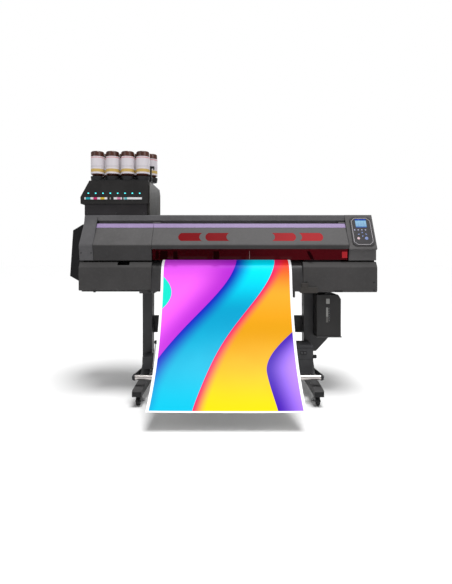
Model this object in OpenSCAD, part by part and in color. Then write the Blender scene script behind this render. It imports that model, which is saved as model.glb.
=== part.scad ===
/* [Stand] */
// Height of the machine's underside above the floor
body_z = 640; // [560:5:760]
// Distance between the centres of the two posts
leg_span = 1030; // [920:5:1240]
// Post width, left to right
post_w = 60; // [50:1:72]
// Post depth, front to back
post_d = 80; // [66:1:96]
// Wall of the posts and the stay
tube_wall = 3; // [2:0.5:4]
// Length of each foot, front to back
foot_len = 700; // [620:5:840]
// Width of each foot
foot_w = 55; // [48:1:66]
// Height of a foot's underside above the floor
foot_z = 62; // [58:1:74]
// Height of the cross stay's lower edge
stay_z = 355; // [300:5:420]
// Height of the cross stay
stay_h = 110; // [92:2:130]
// Caster wheel diameter
wheel_d = 48; // [40:1:50]
// Caster wheel width
wheel_w = 20; // [16:1:24]
// Distance the caster wheel trails behind its stem
caster_trail = 18; // [14:1:20]
// Levelling foot pad diameter
pad_d = 40; // [32:1:44]

/* [Body] */
// Width of the machine body without the side box
body_w = 1792; // [1660:4:2150]
// Width of the left end cover
left_end_w = 84; // [70:1:100]
// Width of the fixed left front cover
left_front_w = 353; // [300:1:360]
// Width of the right end cover that carries the operation panel
right_end_w = 168; // [150:1:200]
// Thickness of the plastic covers
wall = 3; // [2:0.5:4]
// Gap between neighbouring covers
cover_gap = 2; // [1:0.5:3]
// Height of the media plane above the underside
media_h = 195; // [185:1:210]
// Height of the body's top above the underside
body_h = 474; // [460:2:520]
// Rear face of the body
rear_y = 290; // [280:2:320]
// How far the side box stands out to the left
side_box_w = 145; // [120:5:175]
// Width of the paper guide between the two lower covers
guide_w = 908; // [880:4:930]

/* [Media] */
// Width of the printed sheet
media_w = 787; // [655:1:800]
// Thickness of the sheet
sheet_t = 0.6; // [0.5:0.1:0.7]
// Radius of the sheet's bend over the front guide
front_bend_r = 100; // [90:1:105]
// Radius of the forward curl of the hanging end
curl_r = 830; // [760:1:850]
// Slope of the hanging end's tip, from vertical
tip_angle = 66; // [60:1:68]
// Height of the tip above the floor
tip_z = 98; // [90:1:120]
// Radius of the media roll behind the machine
roll_r = 60; // [52:1:70]
// Radius of the roll core's bore
core_r = 38.1; // [36:0.1:40]

/* [Ink unit] */
// Width of the ink unit's lower box
ink_w = 390; // [340:2:400]
// Bottle diameter
bottle_d = 84; // [70:1:92]
// Distance between neighbouring bottles
bottle_pitch = 96; // [94:1:100]
// Height of a bottle from cap to base
bottle_h = 188; // [156:1:226]

/* [Operation panel] */
// Panel plate width
panel_w = 131; // [124:1:136]
// Panel plate height along the slope
panel_l = 198; // [190:1:206]
// Key travel
key_travel = 1; // [0.8:0.1:1.2]

/* [Hidden] */
$fn = 48;

// Clearances
fit_gap = 0.06;     // radial clearance of a shaft in its bore
soft_gap = 0.3;     // between the sheet and what it passes over
key_gap = 0.3;      // around each key

// Width positions
left_x = -body_w / 2;
right_x = body_w / 2;
left_front_x = left_x + left_end_w;
main_x0 = left_front_x + left_front_w;
main_x1 = right_x - right_end_w;
guide_x = -4;
guide_x0 = guide_x - guide_w / 2;
guide_x1 = guide_x + guide_w / 2;
media_x = -9;
leg_x = leg_span / 2;

// Body outline in the Y-Z plane, heights from the underside
chin = [-183, 191];
kink = [-200, 283];
slope_top = [-125, 392];
stripe_top = [-108, 418];
crown_low = [-100, 438];
crown = [-92, body_h];
rear_chamfer = 20;
hinge_yz = [-103, 424];
hinge_pin_r = 2.5;
lip_h = 23;
cover_split_h = 183;

// Thin bent profiles
function unit(v) = v / norm(v);
function side(v) = [-v.y, v.x];
function dir_in(p, i) = unit(i == 0 ? p[1] - p[0] : p[i] - p[i - 1]);
function dir_out(p, i) = unit(i == len(p) - 1 ? p[i] - p[i - 1] : p[i + 1] - p[i]);
function mitre(p, i) = unit(side(dir_in(p, i)) + side(dir_out(p, i)));
function shifted(p, i, t) = p[i] + mitre(p, i) * t / (mitre(p, i) * side(dir_in(p, i)));
function parallel(p, t) = [for (i = [0 : len(p) - 1]) shifted(p, i, t)];
function bent(p, t) = concat(p, [for (i = [len(p) - 1 : -1 : 0]) shifted(p, i, t)]);
function arc(c, r, a0, a1, n) =
    [for (i = [0 : n]) c + r * [cos(a0 + (a1 - a0) * i / n), sin(a0 + (a1 - a0) * i / n)]];

// Path of the sheet's lower face in the Y-Z plane, heights from the floor
plane_z = body_z + media_h;
front_bend_y = -95;
front_fall = 80;
rear_bend_r = 95;
sheet_rear_y = 310;
roll_z = body_z - 110;
roll_y = sheet_rear_y - soft_gap - roll_r;
front_bend_c = [front_bend_y, plane_z - front_bend_r];
rear_bend_c = [sheet_rear_y - rear_bend_r, plane_z - rear_bend_r];
bend_end = front_bend_c + front_bend_r * [-sin(front_fall), cos(front_fall)];
lean = 90 - front_fall;
hang_z = tip_z + curl_r * (sin(tip_angle) - sin(lean));
hang_end = [bend_end.x - (bend_end.y - hang_z) * tan(lean), hang_z];
curl_c = hang_end + curl_r * [-cos(lean), sin(lean)];
sheet_path = concat([[sheet_rear_y, roll_z]],
    arc(rear_bend_c, rear_bend_r, 0, 90, 10),
    arc(front_bend_c, front_bend_r, 90, 90 + front_fall, 10),
    arc(curl_c, curl_r, -lean, -tip_angle, 12));

// Outer limits, which put the origin under the middle of the whole machine
ink_front_y = -88;
ink_rear_y = 325;
sheet_outline = bent(sheet_path, -sheet_t);
reach_left = left_x - side_box_w;
reach_front = min([for (p = sheet_outline) p.x]);
reach_rear = max(foot_len / 2, ink_rear_y);
middle = [(reach_left + right_x) / 2, (reach_front + reach_rear) / 2];

module placed() { translate([-middle.x, -middle.y, 0]) children(); }
module machine() { placed() translate([0, 0, body_z]) children(); }
module block(lo, hi) { translate(lo) cube(hi - lo); }
module along_x(x0, x1) { translate([x0, 0, 0]) rotate([90, 0, 90]) linear_extrude(x1 - x0) children(); }
module along_y(y0, y1) { translate([0, y1, 0]) rotate([90, 0, 0]) linear_extrude(y1 - y0) children(); }
module rod_x(x0, x1, yz, r) {
    translate([x0, yz.x, yz.y]) rotate([0, 90, 0]) cylinder(r = r, h = x1 - x0);
}
module rod_y(y0, y1, xz, r) {
    translate([xz.x, y1, xz.y]) rotate([90, 0, 0]) cylinder(r = r, h = y1 - y0);
}

// ---------- Stand ----------
post_y = 5;
pivot_r = 6;
pivot_l = 12;
bar_pivot = [post_y, 122];
post_front = post_y - post_d / 2;
post_rear = post_y + post_d / 2;
foot_seat = 115;
gusset_h = 70;
gusset_reach = 85;
toe_h = 30;
bracket_t = 20;
bracket_over = 17;
post_top = body_z - bracket_t;
caster_y = foot_len / 2 - 60;
pad_y = foot_len / 2 - 130;
stem_r = 6;
axle_r = 4;
wheel_lift = 1.2;
axle_z = wheel_lift + wheel_d / 2;
cheek_t = 3;
fork_top = foot_z - 1;
fork_plate_t = 6;
stem_h = 24;

module post(s) {
    face = leg_x + post_w / 2;
    rod_x(s > 0 ? face : -face - pivot_l, s > 0 ? face + pivot_l : -face, bar_pivot, pivot_r);
    difference() {
        block([s * leg_x - post_w / 2, post_front, foot_seat], [s * leg_x + post_w / 2, post_rear, post_top]);
        block([s * leg_x - post_w / 2 + tube_wall, post_front + tube_wall, foot_seat - 1],
            [s * leg_x + post_w / 2 - tube_wall, post_rear - tube_wall, post_top + 1]);
    }
}
module left_post() { color("#3c3c3d") placed() post(-1); }
module right_post() { color("#3c3c3d") placed() post(1); }

// Foot beam with a seat for the post, a gusset before and behind it, and the caster stems' bores
module foot(s) {
    half = foot_len / 2;
    difference() {
        along_x(s * leg_x - foot_w / 2, s * leg_x + foot_w / 2)
            polygon([[-half, foot_z], [half, foot_z], [half, foot_z + toe_h],
                [half - 12, foot_z + toe_h + 6], [post_rear + gusset_reach, foot_seat - 5],
                [post_rear + 14, foot_seat + gusset_h], [post_rear, foot_seat + gusset_h],
                [post_rear, foot_seat], [post_front, foot_seat],
                [post_front, foot_seat + gusset_h], [post_front - 14, foot_seat + gusset_h],
                [post_front - gusset_reach, foot_seat - 5], [-half + 12, foot_z + toe_h + 6],
                [-half, foot_z + toe_h]]);
        for (e = [-1, 1]) {
            translate([s * leg_x, e * caster_y, foot_z - 1]) cylinder(r = stem_r + fit_gap, h = stem_h + 2);
        }
    }
}
module left_foot() { color("#2e2e30") placed() foot(-1); }
module right_foot() { color("#2e2e30") placed() foot(1); }

// Box-section stay behind the posts
stay_d = 26;
module rear_stay() {
    color("#353536") placed() difference() {
        block([-leg_x - post_w / 2, post_rear, stay_z], [leg_x + post_w / 2, post_rear + stay_d, stay_z + stay_h]);
        block([-leg_x - post_w / 2 - 1, post_rear + tube_wall, stay_z + tube_wall],
            [leg_x + post_w / 2 + 1, post_rear + stay_d - tube_wall, stay_z + stay_h - tube_wall]);
    }
}

// Ledges that bolt the machine to the posts, and the shelf of the waste ink tank
tank_x0 = leg_x + post_w / 2 + 3;
tank_w = 148;
tank_d = 200;
tank_h = 256;
tank_front = -130;
shelf_t = 6;
shelf_z = 362;
gusset_drop = 120;
module stand_brackets() {
    color("#48484a") placed() {
        for (s = [-1, 1]) {
            block([s * leg_x - post_w / 2 - bracket_over, post_front - 22, post_top],
                [s * leg_x + post_w / 2 + bracket_over, post_rear + 22, body_z]);
        }
        block([leg_x + post_w / 2, tank_front - 6, shelf_z - shelf_t],
            [tank_x0 + tank_w + 4, tank_front + tank_d + 6, shelf_z]);
        along_y(post_y - 3, post_y + 3)
            polygon([[leg_x + post_w / 2, shelf_z - shelf_t], [tank_x0 + tank_w * 0.86, shelf_z - shelf_t],
                [tank_x0 + 22, shelf_z - gusset_drop], [leg_x + post_w / 2, shelf_z - gusset_drop]]);
    }
}

// Screw-down feet that carry the machine while it works
module levelling_feet() {
    color("#55565a") placed() for (s = [-1, 1], e = [-1, 1]) {
        translate([s * leg_x, e * pad_y, 0]) {
            cylinder(d = pad_d, h = 10);
            translate([0, 0, 10]) cylinder(d = pad_d * 0.55, h = 8);
            translate([0, 0, 18]) cylinder(r = 6, h = foot_z - 18);
        }
    }
}

// Swivel casters: the wheel trails towards the nearer end of the foot
module at_caster(s, e) { placed() translate([s * leg_x, e * caster_y, 0]) scale_y(e) children(); }
module scale_y(e) { rotate([0, 0, e > 0 ? 0 : 180]) children(); }
module caster_fork(s, e) {
    cheek_x = wheel_w / 2 + 0.5;
    color("#1f1f21") at_caster(s, e) {
        translate([0, 0, fork_top - fork_plate_t]) cylinder(r = wheel_w / 2 + 7, h = fork_plate_t);
        translate([0, 0, fork_top - 1]) cylinder(r = stem_r, h = stem_h);
        for (m = [-1, 1]) {
            along_x(m > 0 ? cheek_x : -cheek_x - cheek_t, m > 0 ? cheek_x + cheek_t : -cheek_x)
                polygon([[-9, fork_top - 1], [9, fork_top - 1], [caster_trail + 7, axle_z + 6],
                    [caster_trail + 7, axle_z - 7], [caster_trail - 6, axle_z - 7]]);
        }
        rod_x(-cheek_x - cheek_t, cheek_x + cheek_t, [caster_trail, axle_z], axle_r);
    }
}
module caster_wheel(s, e) {
    color("#141415") at_caster(s, e) difference() {
        rod_x(-wheel_w / 2, wheel_w / 2, [caster_trail, axle_z], wheel_d / 2);
        rod_x(-wheel_w / 2 - 1, wheel_w / 2 + 1, [caster_trail, axle_z], axle_r + fit_gap);
    }
}
module caster_fork_fl() { caster_fork(-1, -1); }
module caster_fork_fr() { caster_fork(1, -1); }
module caster_fork_rl() { caster_fork(-1, 1); }
module caster_fork_rr() { caster_fork(1, 1); }
module caster_wheel_fl() { caster_wheel(-1, -1); }
module caster_wheel_fr() { caster_wheel(1, -1); }
module caster_wheel_rl() { caster_wheel(-1, 1); }
module caster_wheel_rr() { caster_wheel(1, 1); }

// ---------- Machine frame and media path ----------
tray_x = body_w / 2 - 1;
tray_front = -148;
tray_rear = 262;
tray_h = chin.y;
tray_back_h = 160;
side_frame_x = body_w / 2 - 62;
side_frame_t = 8;
rail_yz = [62, 260];
rail_d = 88;
rail_h = 85;
grit_r = 12;
grit_y = 20;
grit_journal_r = 4;
grit_x = 443;
grit_h = media_h - soft_gap - grit_r;
platen_t = 6;
platen_top = media_h - soft_gap;
platen_x = grit_x + 9;
upright_top = platen_top - platen_t;
station_mid = 600;
station_w = 220;
station_x = [station_mid - station_w / 2, station_mid + station_w / 2];
guide_post_r = 6;
station_post_dx = 70;
station_y = -30;

// Folded steel tray with end plates, rear plate, roller uprights and the rail's two side frames
module base_frame() {
    color("#2b2b2d") machine() difference() {
        union() {
            block([-tray_x, tray_front, 0], [tray_x, tray_rear, wall]);
            for (s = [-1, 1]) {
                x = s > 0 ? tray_x - wall : -tray_x;
                block([x, tray_front, wall], [x + wall, tray_rear, tray_h]);
                f = s > 0 ? side_frame_x : -side_frame_x - side_frame_t;
                block([f, rail_yz.x - 40, wall], [f + side_frame_t, rail_yz.x + rail_d, rail_yz.y + rail_h]);
                g = s > 0 ? grit_x + 1 : -grit_x - 9;
                block([g, -60, wall], [g + 8, 62, upright_top]);
                translate([station_mid + s * station_post_dx, station_y, wall]) cylinder(r = 10, h = 76);
            }
            block([-tray_x + wall, tray_rear - wall, wall], [tray_x - wall, tray_rear, tray_back_h]);
        }
        rod_x(-grit_x - 10, grit_x + 10, [grit_y, grit_h], grit_journal_r + fit_gap);
        for (s = [-1, 1]) {
            translate([station_mid + s * station_post_dx, station_y, wall + 1])
                cylinder(r = guide_post_r + fit_gap, h = 90);
        }
    }
}

// Hollow aluminium beam with a linear rail in front and lugs for the pinch shaft below
lin_rail = [12, 15];
lin_rail_h = 295;
pinch_shaft_yz = [78, 228];
pinch_shaft_r = 5;
lug_x = 438;
lug_t = 8;
module guide_rail() {
    color("#8d9093") machine() difference() {
        union() {
            block([-side_frame_x, rail_yz.x, rail_yz.y], [side_frame_x, rail_yz.x + rail_d, rail_yz.y + rail_h]);
            block([-side_frame_x + 20, rail_yz.x - lin_rail.x, lin_rail_h],
                [side_frame_x - 20, rail_yz.x, lin_rail_h + lin_rail.y]);
            for (s = [-1, 1]) {
                x = media_x + s * (lug_x + lug_t / 2);
                block([x - lug_t / 2, pinch_shaft_yz.x - 12, pinch_shaft_yz.y - 10],
                    [x + lug_t / 2, pinch_shaft_yz.x + 12, rail_yz.y]);
            }
        }
        block([-side_frame_x - 1, rail_yz.x + 8, rail_yz.y + 8],
            [side_frame_x + 1, rail_yz.x + rail_d - 8, rail_yz.y + rail_h - 8]);
        rod_x(media_x - lug_x - 20, media_x + lug_x + 20, pinch_shaft_yz, pinch_shaft_r + fit_gap);
    }
}

// Front and rear plates with the roller's slot between them
guide_flat = 1;
module platen() {
    color("#6d7073") machine() {
        block([-platen_x, front_bend_y + guide_flat, upright_top], [platen_x, grit_y - grit_r - 2, platen_top]);
        block([-platen_x, grit_y + grit_r + 2, upright_top], [platen_x, 64, platen_top]);
    }
}

// Curved guides that the media runs over; the front one meets the plate on a short level edge
front_guide_low = 6;
module front_guide() {
    r = front_bend_r - soft_gap;
    c = front_bend_c - [0, body_z];
    foot_pt = c + r * [-sin(front_fall), cos(front_fall)];
    low = [foot_pt.x - (foot_pt.y - front_guide_low) * tan(lean), front_guide_low];
    face = concat([c + [guide_flat, r]], arc(c, r, 90, 90 + front_fall, 10), [low]);
    color("#58595b") machine() {
        along_x(guide_x0, guide_x1) polygon(bent(face, 2));
    }
}
module rear_guide() {
    r = rear_bend_r - soft_gap;
    c = rear_bend_c - [0, body_z];
    face = concat([[sheet_rear_y - soft_gap, 20]], arc(c, r, 0, 90, 12), [[66, media_h - soft_gap]]);
    color("#4a4b4d") machine() {
        along_x(guide_x0, guide_x1) polygon(bent(face, 2));
        for (s = [-1, 1]) {
            x = guide_x + s * (guide_w / 2 - 12);
            block([x - 5, tray_rear, 40], [x + 5, sheet_rear_y - soft_gap - 2, 80]);
        }
    }
}

// Grit roller turned by the feed motor
module grit_roller() {
    color("#9b9da0") machine() {
        rod_x(-grit_x, grit_x, [grit_y, grit_h], grit_r);
        rod_x(-grit_x - 9, grit_x + 9, [grit_y, grit_h], grit_journal_r);
    }
}

// Four spring arms on one shaft, and the rollers they press on the sheet
pinch_r = 8;
pinch_w = 24;
pinch_axle_r = 2;
pinch_at = [-330, -110, 110, 330];
pinch_yz = [grit_y, media_h + sheet_t + soft_gap + pinch_r];
module pinch_arms() {
    color("#2c2c2e") machine() {
        rod_x(media_x - lug_x - lug_t, media_x + lug_x + lug_t, pinch_shaft_yz, pinch_shaft_r);
        for (x = pinch_at) {
            for (m = [-1, 1]) {
                x0 = media_x + x + (m > 0 ? pinch_w / 2 + 1 : -pinch_w / 2 - 4);
                along_x(x0, x0 + 3)
                    polygon([pinch_yz + [-6, -6], pinch_yz + [6, -6], pinch_shaft_yz + [6, -7],
                        pinch_shaft_yz + [8, 8], pinch_shaft_yz + [-8, 8], pinch_yz + [-6, 6]]);
            }
            block([media_x + x - pinch_w / 2 - 2, pinch_yz.x + 34, pinch_yz.y + 12],
                [media_x + x + pinch_w / 2 + 2, pinch_shaft_yz.x - 3, pinch_shaft_yz.y + 4]);
            rod_x(media_x + x - pinch_w / 2 - 4, media_x + x + pinch_w / 2 + 4, pinch_yz, pinch_axle_r);
        }
    }
}
module pinch_rollers() {
    color("#1b1b1c") machine() for (x = pinch_at) {
        difference() {
            rod_x(media_x + x - pinch_w / 2, media_x + x + pinch_w / 2, pinch_yz, pinch_r);
            rod_x(media_x + x - pinch_w, media_x + x + pinch_w, pinch_yz, pinch_axle_r + fit_gap);
        }
    }
}

// Carriages that run on the linear rail
module bearing(x, w) {
    difference() {
        block([x - w / 2, rail_yz.x - lin_rail.x - 4, lin_rail_h - 10],
            [x + w / 2, rail_yz.x - 0.5, lin_rail_h + lin_rail.y + 10]);
        block([x - w, rail_yz.x - lin_rail.x - soft_gap, lin_rail_h - soft_gap],
            [x + w, rail_yz.x + 1, lin_rail_h + lin_rail.y + soft_gap]);
    }
}
carriage_w = 240;
carriage_low = media_h + 4;
carriage_front = -70;
module print_carriage() {
    color("#3a3b3e") machine() {
        along_x(station_mid - carriage_w / 2, station_mid + carriage_w / 2)
            polygon([[carriage_front, carriage_low], [-8, carriage_low], [-8, 248], [46, 248], [46, 360],
                [carriage_front, 360]]);
        bearing(station_mid, carriage_w * 0.6);
    }
}
cutter_x = -640;
cutter_w = 90;
blade_y = -30;
blade_r = 8;
module cutter_carriage() {
    color("#46474a") machine() difference() {
        union() {
            block([cutter_x - cutter_w / 2, -8, 248], [cutter_x + cutter_w / 2, 46, 350]);
            block([cutter_x - 22, -52, 226], [cutter_x + 22, -8, 286]);
            block([cutter_x - 22, -9, 226], [cutter_x + 22, 20, 260]);
            bearing(cutter_x, cutter_w * 0.7);
        }
        translate([cutter_x, blade_y, 200]) cylinder(r = blade_r + fit_gap, h = 100);
    }
}
module blade_holder() {
    color("#b9bbbd") machine() translate([cutter_x, blade_y, 0]) {
        translate([0, 0, media_h + 14]) cylinder(r = blade_r, h = 95);
        translate([0, 0, media_h + 8]) cylinder(r = 3, h = 7);
        translate([0, 0, 295]) cylinder(r = blade_r + 4, h = 13);
    }
}

// Cap station that seals the print heads: it rides on two guide posts
module capping_station() {
    color("#505255") machine() {
        difference() {
            block([station_x[0], -72, 100], [station_x[1], 4, carriage_low - 0.5]);
            for (m = [-1, 1]) {
                block([station_mid + m * 52 - 38, -62, carriage_low - 13],
                    [station_mid + m * 52 + 38, -6, carriage_low + 1]);
            }
        }
        for (m = [-1, 1]) {
            translate([station_mid + m * station_post_dx, station_y, 24]) cylinder(r = guide_post_r, h = 77);
        }
    }
}

// ---------- Covers ----------
side_outline = [chin, kink, slope_top, stripe_top, crown_low, crown,
    [rear_y - rear_chamfer, body_h], [rear_y, body_h - rear_chamfer], [rear_y, chin.y]];
function inset(p, w) = [for (q = p) [q.x + (q.x < 0 ? w : -w), q.y > body_h - 40 ? q.y - w : q.y]];

// Closed end cap of the left side, open towards the machine
module left_end_cover() {
    color("#3f3f41") machine() difference() {
        along_x(left_x, left_front_x) polygon(side_outline);
        translate([0, 0, -1]) along_x(left_x + wall, left_front_x + 1) polygon(inset(side_outline, wall));
    }
}

// Hinge pin on a small lug
module hinge_end(x0, x1, lug_x0, lug_x1) {
    rod_x(x0, x1, hinge_yz, hinge_pin_r);
    block([lug_x0, hinge_yz.x - 5, hinge_yz.y - 12], [lug_x1, hinge_yz.x + 5, hinge_yz.y + 5]);
}
stripe_t = 1.5;
front_face = [chin, kink, slope_top, stripe_top];
barrel_l = 40;
module left_front_cover() {
    color("#4d4c4d") machine() {
        along_x(left_front_x, main_x0 - cover_gap) polygon(bent(front_face, -wall));
        along_x(left_front_x, main_x0 - cover_gap) polygon(bent([slope_top, stripe_top], stripe_t));
        hinge_end(main_x0 - cover_gap - 6, main_x0 + barrel_l - 8, main_x0 - cover_gap - 6, main_x0 - cover_gap);
    }
}

// Top and rear cover with the dark step above the front covers
module top_cover() {
    back_low = media_h + 17;
    color("#444446") machine() along_x(left_front_x, main_x1)
        polygon(bent([[crown_low.x + 15, stripe_top.y - 8], [crown_low.x + 15, crown_low.y], crown_low, crown,
            [rear_y - rear_chamfer, body_h], [rear_y, body_h - rear_chamfer], [rear_y, back_low]], -wall));
}

// Tilted operation panel's own frame: X along the machine, Y up the slope, Z out of the face
panel_low = [-200, 265];
panel_high = [-96, 468];
panel_tilt = atan((panel_high.x - panel_low.x) / (panel_high.y - panel_low.y));
panel_mid = [(main_x1 + right_x) / 2 + 7, (panel_low.x + panel_high.x) / 2, (panel_low.y + panel_high.y) / 2];
module on_panel() { translate(panel_mid) rotate([90 - panel_tilt, 0, 0]) children(); }
panel_t = 6;
panel_cut = 16;

// Right end cap with the raised panel slope
module right_end_cover() {
    face = [[-180, chin.y], [-180, 252], [panel_low.x, 258], panel_low, panel_high, [crown.x, body_h],
        [rear_y - rear_chamfer, body_h], [rear_y, body_h - rear_chamfer], [rear_y, chin.y]];
    color("#4a494a") machine() {
        difference() {
            along_x(main_x1, right_x) polygon(face);
            translate([0, 0, -1]) along_x(main_x1 - 1, right_x - wall) polygon(inset(face, wall + 2));
        }
        hinge_end(main_x1 - barrel_l + 8, main_x1 + 1, main_x1, main_x1 + 6);
    }
}

// Fixed lower cover with a bevelled shoulder
low_cover = [[tray_front, 0], [-190, 0], [-200, 12], [-200, 150], [-178, cover_split_h],
    [tray_front, cover_split_h]];
module trough(x0, x1, face) {
    along_x(x0, x1) polygon(bent(face, -wall));
    for (x = [x0, x1 - wall]) { along_x(x, x + wall) polygon(face); }
}
module right_lower_cover() { color("#434345") machine() trough(guide_x1 + cover_gap, right_x, low_cover); }

// Hinged maintenance cover: it tips forward about its lower edge
flap_hinge_yz = [-192, 8];
flap_back = -160;
flap_notch_w = 72;
flap_notch_x = -630;
module left_lower_cover() {
    face = [[flap_back, 10], [-194, 10], [-200, 18], [-200, 150], [-178, cover_split_h],
        [flap_back, cover_split_h]];
    color("#434345") machine() difference() {
        union() {
            trough(left_x, guide_x0 - cover_gap, face);
            rod_x(-tray_x + 20, -tray_x + 60, flap_hinge_yz, 4);
            rod_x(guide_x0 - 70, guide_x0 - 30, flap_hinge_yz, 4);
        }
        block([flap_notch_x - flap_notch_w / 2, -210, cover_split_h - 20],
            [flap_notch_x + flap_notch_w / 2, -150, cover_split_h + 5]);
    }
}

// Black box of the power supply and air pump on the left end
module side_box() {
    w = side_box_w;
    color("#1c1c1e") machine() difference() {
        along_y(50, 280) side_box_shape(w);
        along_y(50 + wall, 280 - wall) translate([1, 0]) intersection() {
            translate([wall, wall]) side_box_shape(w);
            translate([wall, -wall]) side_box_shape(w);
        }
    }
}
module side_box_shape(w) {
    polygon([[left_x, 425], [left_x - w + 84, 425], [left_x - w + 20, 386], [left_x - w, 85],
        [left_x - w + 58, 52], [left_x, 52]]);
}

// Hinged front cover with four shaped windows cut through its slope
slope_tilt = atan((slope_top.x - kink.x) / (slope_top.y - kink.y));
window_mid = 138;
window_at = [-367, -202, 202, 367];
window_w = 147;
window_l = 61;
window_nose = 0.56;
window_h = 334;
window_y = kink.x + (window_h - kink.y) * tan(slope_tilt);
main_len = [main_x0, main_x1 - cover_gap];
module on_slope() { translate([window_mid, window_y, window_h]) rotate([90 - slope_tilt, 0, 0]) children(); }
module window_shape(m, gap) {
    end_r = window_l * window_nose;
    bow = end_r - sqrt(end_r * end_r - window_l * window_l / 4);
    mirror([m > 0 ? 1 : 0, 0]) difference() {
        intersection() {
            square([window_w - 2 * gap, window_l - 2 * gap], center = true);
            translate([-window_w / 2 + end_r + gap, 0]) union() {
                circle(r = end_r);
                translate([0, -window_l]) square([window_w, 2 * window_l]);
            }
        }
        translate([window_w / 2 + end_r - bow - gap, 0]) circle(r = end_r);
    }
}
module main_cover() {
    skirt = kink + (chin - kink) * lip_h / (kink.y - chin.y);
    color("#4d4c4d") machine() difference() {
        union() {
            along_x(main_len[0], main_len[1]) polygon(bent([skirt, kink, slope_top, stripe_top], -wall));
            for (x = [main_len[0], main_len[1] - barrel_l]) {
                rod_x(x, x + barrel_l, hinge_yz, 5.5);
                block([x, hinge_yz.x - 4, stripe_top.y - 3], [x + barrel_l, hinge_yz.x + 3, hinge_yz.y - 2]);
            }
        }
        rod_x(main_len[0] - 1, main_len[1] + 1, hinge_yz, hinge_pin_r + fit_gap);
        on_slope() for (x = window_at) {
            translate([x, 0, -20]) linear_extrude(40) window_shape(x, 0);
        }
    }
}

// Red see-through inserts of the slope and the long pane below the lip
module cover_windows() {
    rise = (kink - chin) / (kink.y - chin.y);
    pane = parallel([chin + 3 * rise, kink - 3 * rise], -wall);
    color("#8c1d28") machine() {
        on_slope() for (x = window_at) {
            translate([x, 0, -wall + 0.5]) linear_extrude(wall - 1) window_shape(x, 0.1);
        }
        along_x(main_len[0] + 4, main_len[1] - 4) polygon(bent(pane, -wall));
    }
}
module cover_stripe() {
    color("#ab98c6") machine() along_x(main_len[0], main_len[1]) polygon(bent([slope_top, stripe_top], stripe_t));
}

// ---------- Operation panel ----------
arrow_mid = [-1, -22];
arrow_r = 6.5;
arrows = [[0, 12], [0, -12], [-22, 0], [22, 0]];
stop_at = [-28, -50];
stop_r = 8;
enter_at = [20, -50];
enter_r = 10;
key_hole_depth = 4.5;
display_size = [68, 60];
display_at = [0, 57];
module panel_outline() {
    polygon([[-panel_w / 2, -panel_l / 2 + panel_cut], [-panel_w / 2 + panel_cut, -panel_l / 2],
        [panel_w / 2 - panel_cut, -panel_l / 2], [panel_w / 2, -panel_l / 2 + panel_cut],
        [panel_w / 2, panel_l / 2 - panel_cut], [panel_w / 2 - panel_cut, panel_l / 2],
        [-panel_w / 2 + panel_cut, panel_l / 2], [-panel_w / 2, panel_l / 2 - panel_cut]]);
}
module arrow_shape(i, grow) {
    a = arrows[i];
    translate(arrow_mid + a) rotate(atan2(a.y, a.x)) circle(r = arrow_r + 2 * grow, $fn = 3);
}

// Plate with key holes, a display recess and the four small overlay keys
module keypad_panel() {
    color("#26272c") machine() on_panel() {
        difference() {
            linear_extrude(panel_t) panel_outline();
            translate([0, 0, panel_t - key_hole_depth]) linear_extrude(panel_t) {
                for (i = [0 : 3]) { arrow_shape(i, key_gap); }
                translate(stop_at) circle(r = stop_r + key_gap);
                translate(enter_at) circle(r = enter_r + key_gap);
            }
            translate([display_at.x, display_at.y, panel_t])
                cube([display_size.x, display_size.y, 4], center = true);
        }
        for (x = [-44 : 22 : 22]) {
            translate([x, 9, panel_t]) cylinder(r = 4, h = 0.6);
        }
    }
}
module display() {
    color("#7fb0e8") machine() on_panel() translate([display_at.x, display_at.y, panel_t - 1])
        cube([display_size.x - 0.4, display_size.y - 0.4, 2], center = true);
}
module key_body() {
    color("#c8c9d2") machine() on_panel() translate([0, 0, panel_t - key_hole_depth + key_travel + 0.5])
        linear_extrude(key_hole_depth) children();
}
module key_up() { key_body() arrow_shape(0, 0); }
module key_down() { key_body() arrow_shape(1, 0); }
module key_left() { key_body() arrow_shape(2, 0); }
module key_right() { key_body() arrow_shape(3, 0); }
module key_stop() { key_body() translate(stop_at) circle(r = stop_r); }
module key_enter() { key_body() translate(enter_at) circle(r = enter_r); }

// ---------- Ink unit ----------
ink_x0 = left_x - 2;
ink_x1 = ink_x0 + ink_w;
ink_low_h = 69;
bezel_x0 = ink_x0 - 22;
bezel_x1 = ink_x1 + 10;
bezel_z = body_h + ink_low_h;
bezel_h = 147;
bezel_slant = 62;
step_h = 20;
row_y = [-44, 116];
row_shift = 23;
bottle_r = bottle_d / 2;
first_bottle_x = ink_x0 + 69;
module ink_base() {
    color("#2b2a2d") machine() difference() {
        block([ink_x0, ink_front_y, body_h], [ink_x1, ink_rear_y, bezel_z]);
        block([ink_x0 + wall, ink_front_y + wall, body_h - 1], [ink_x1 - wall, ink_rear_y - wall, bezel_z - wall]);
    }
}
lamp_pitch = 45.8;
lamp_x0 = bezel_x0 + 49;
lamp_z = bezel_z + 66;
module lamp_row() {
    for (i = [0 : 7]) {
        translate([lamp_x0 + i * lamp_pitch, ink_front_y - 9, lamp_z]) cube([9, 7, 6], center = true);
    }
}
module ink_lamps() { color("#58d6d6") machine() lamp_row(); }
module bezel_body(x0, x1, y0, y1, z0, h) {
    intersection() {
        along_y(y0 - 20, y1)
            polygon([[x0, z0], [x1, z0], [x1, z0 + h], [x1 - 20, z0 + h + step_h],
                [x0 + bezel_slant, z0 + h + step_h], [x0, z0 + 42]]);
        along_x(x0 - 1, x1 + 1)
            polygon([[y0 - 10, z0], [y0 - 14, z0 + 40], [y0 - 2, z0 + h], [36, z0 + h],
                [40, z0 + h + step_h], [y1, z0 + h + step_h], [y1, z0]]);
    }
}
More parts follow.
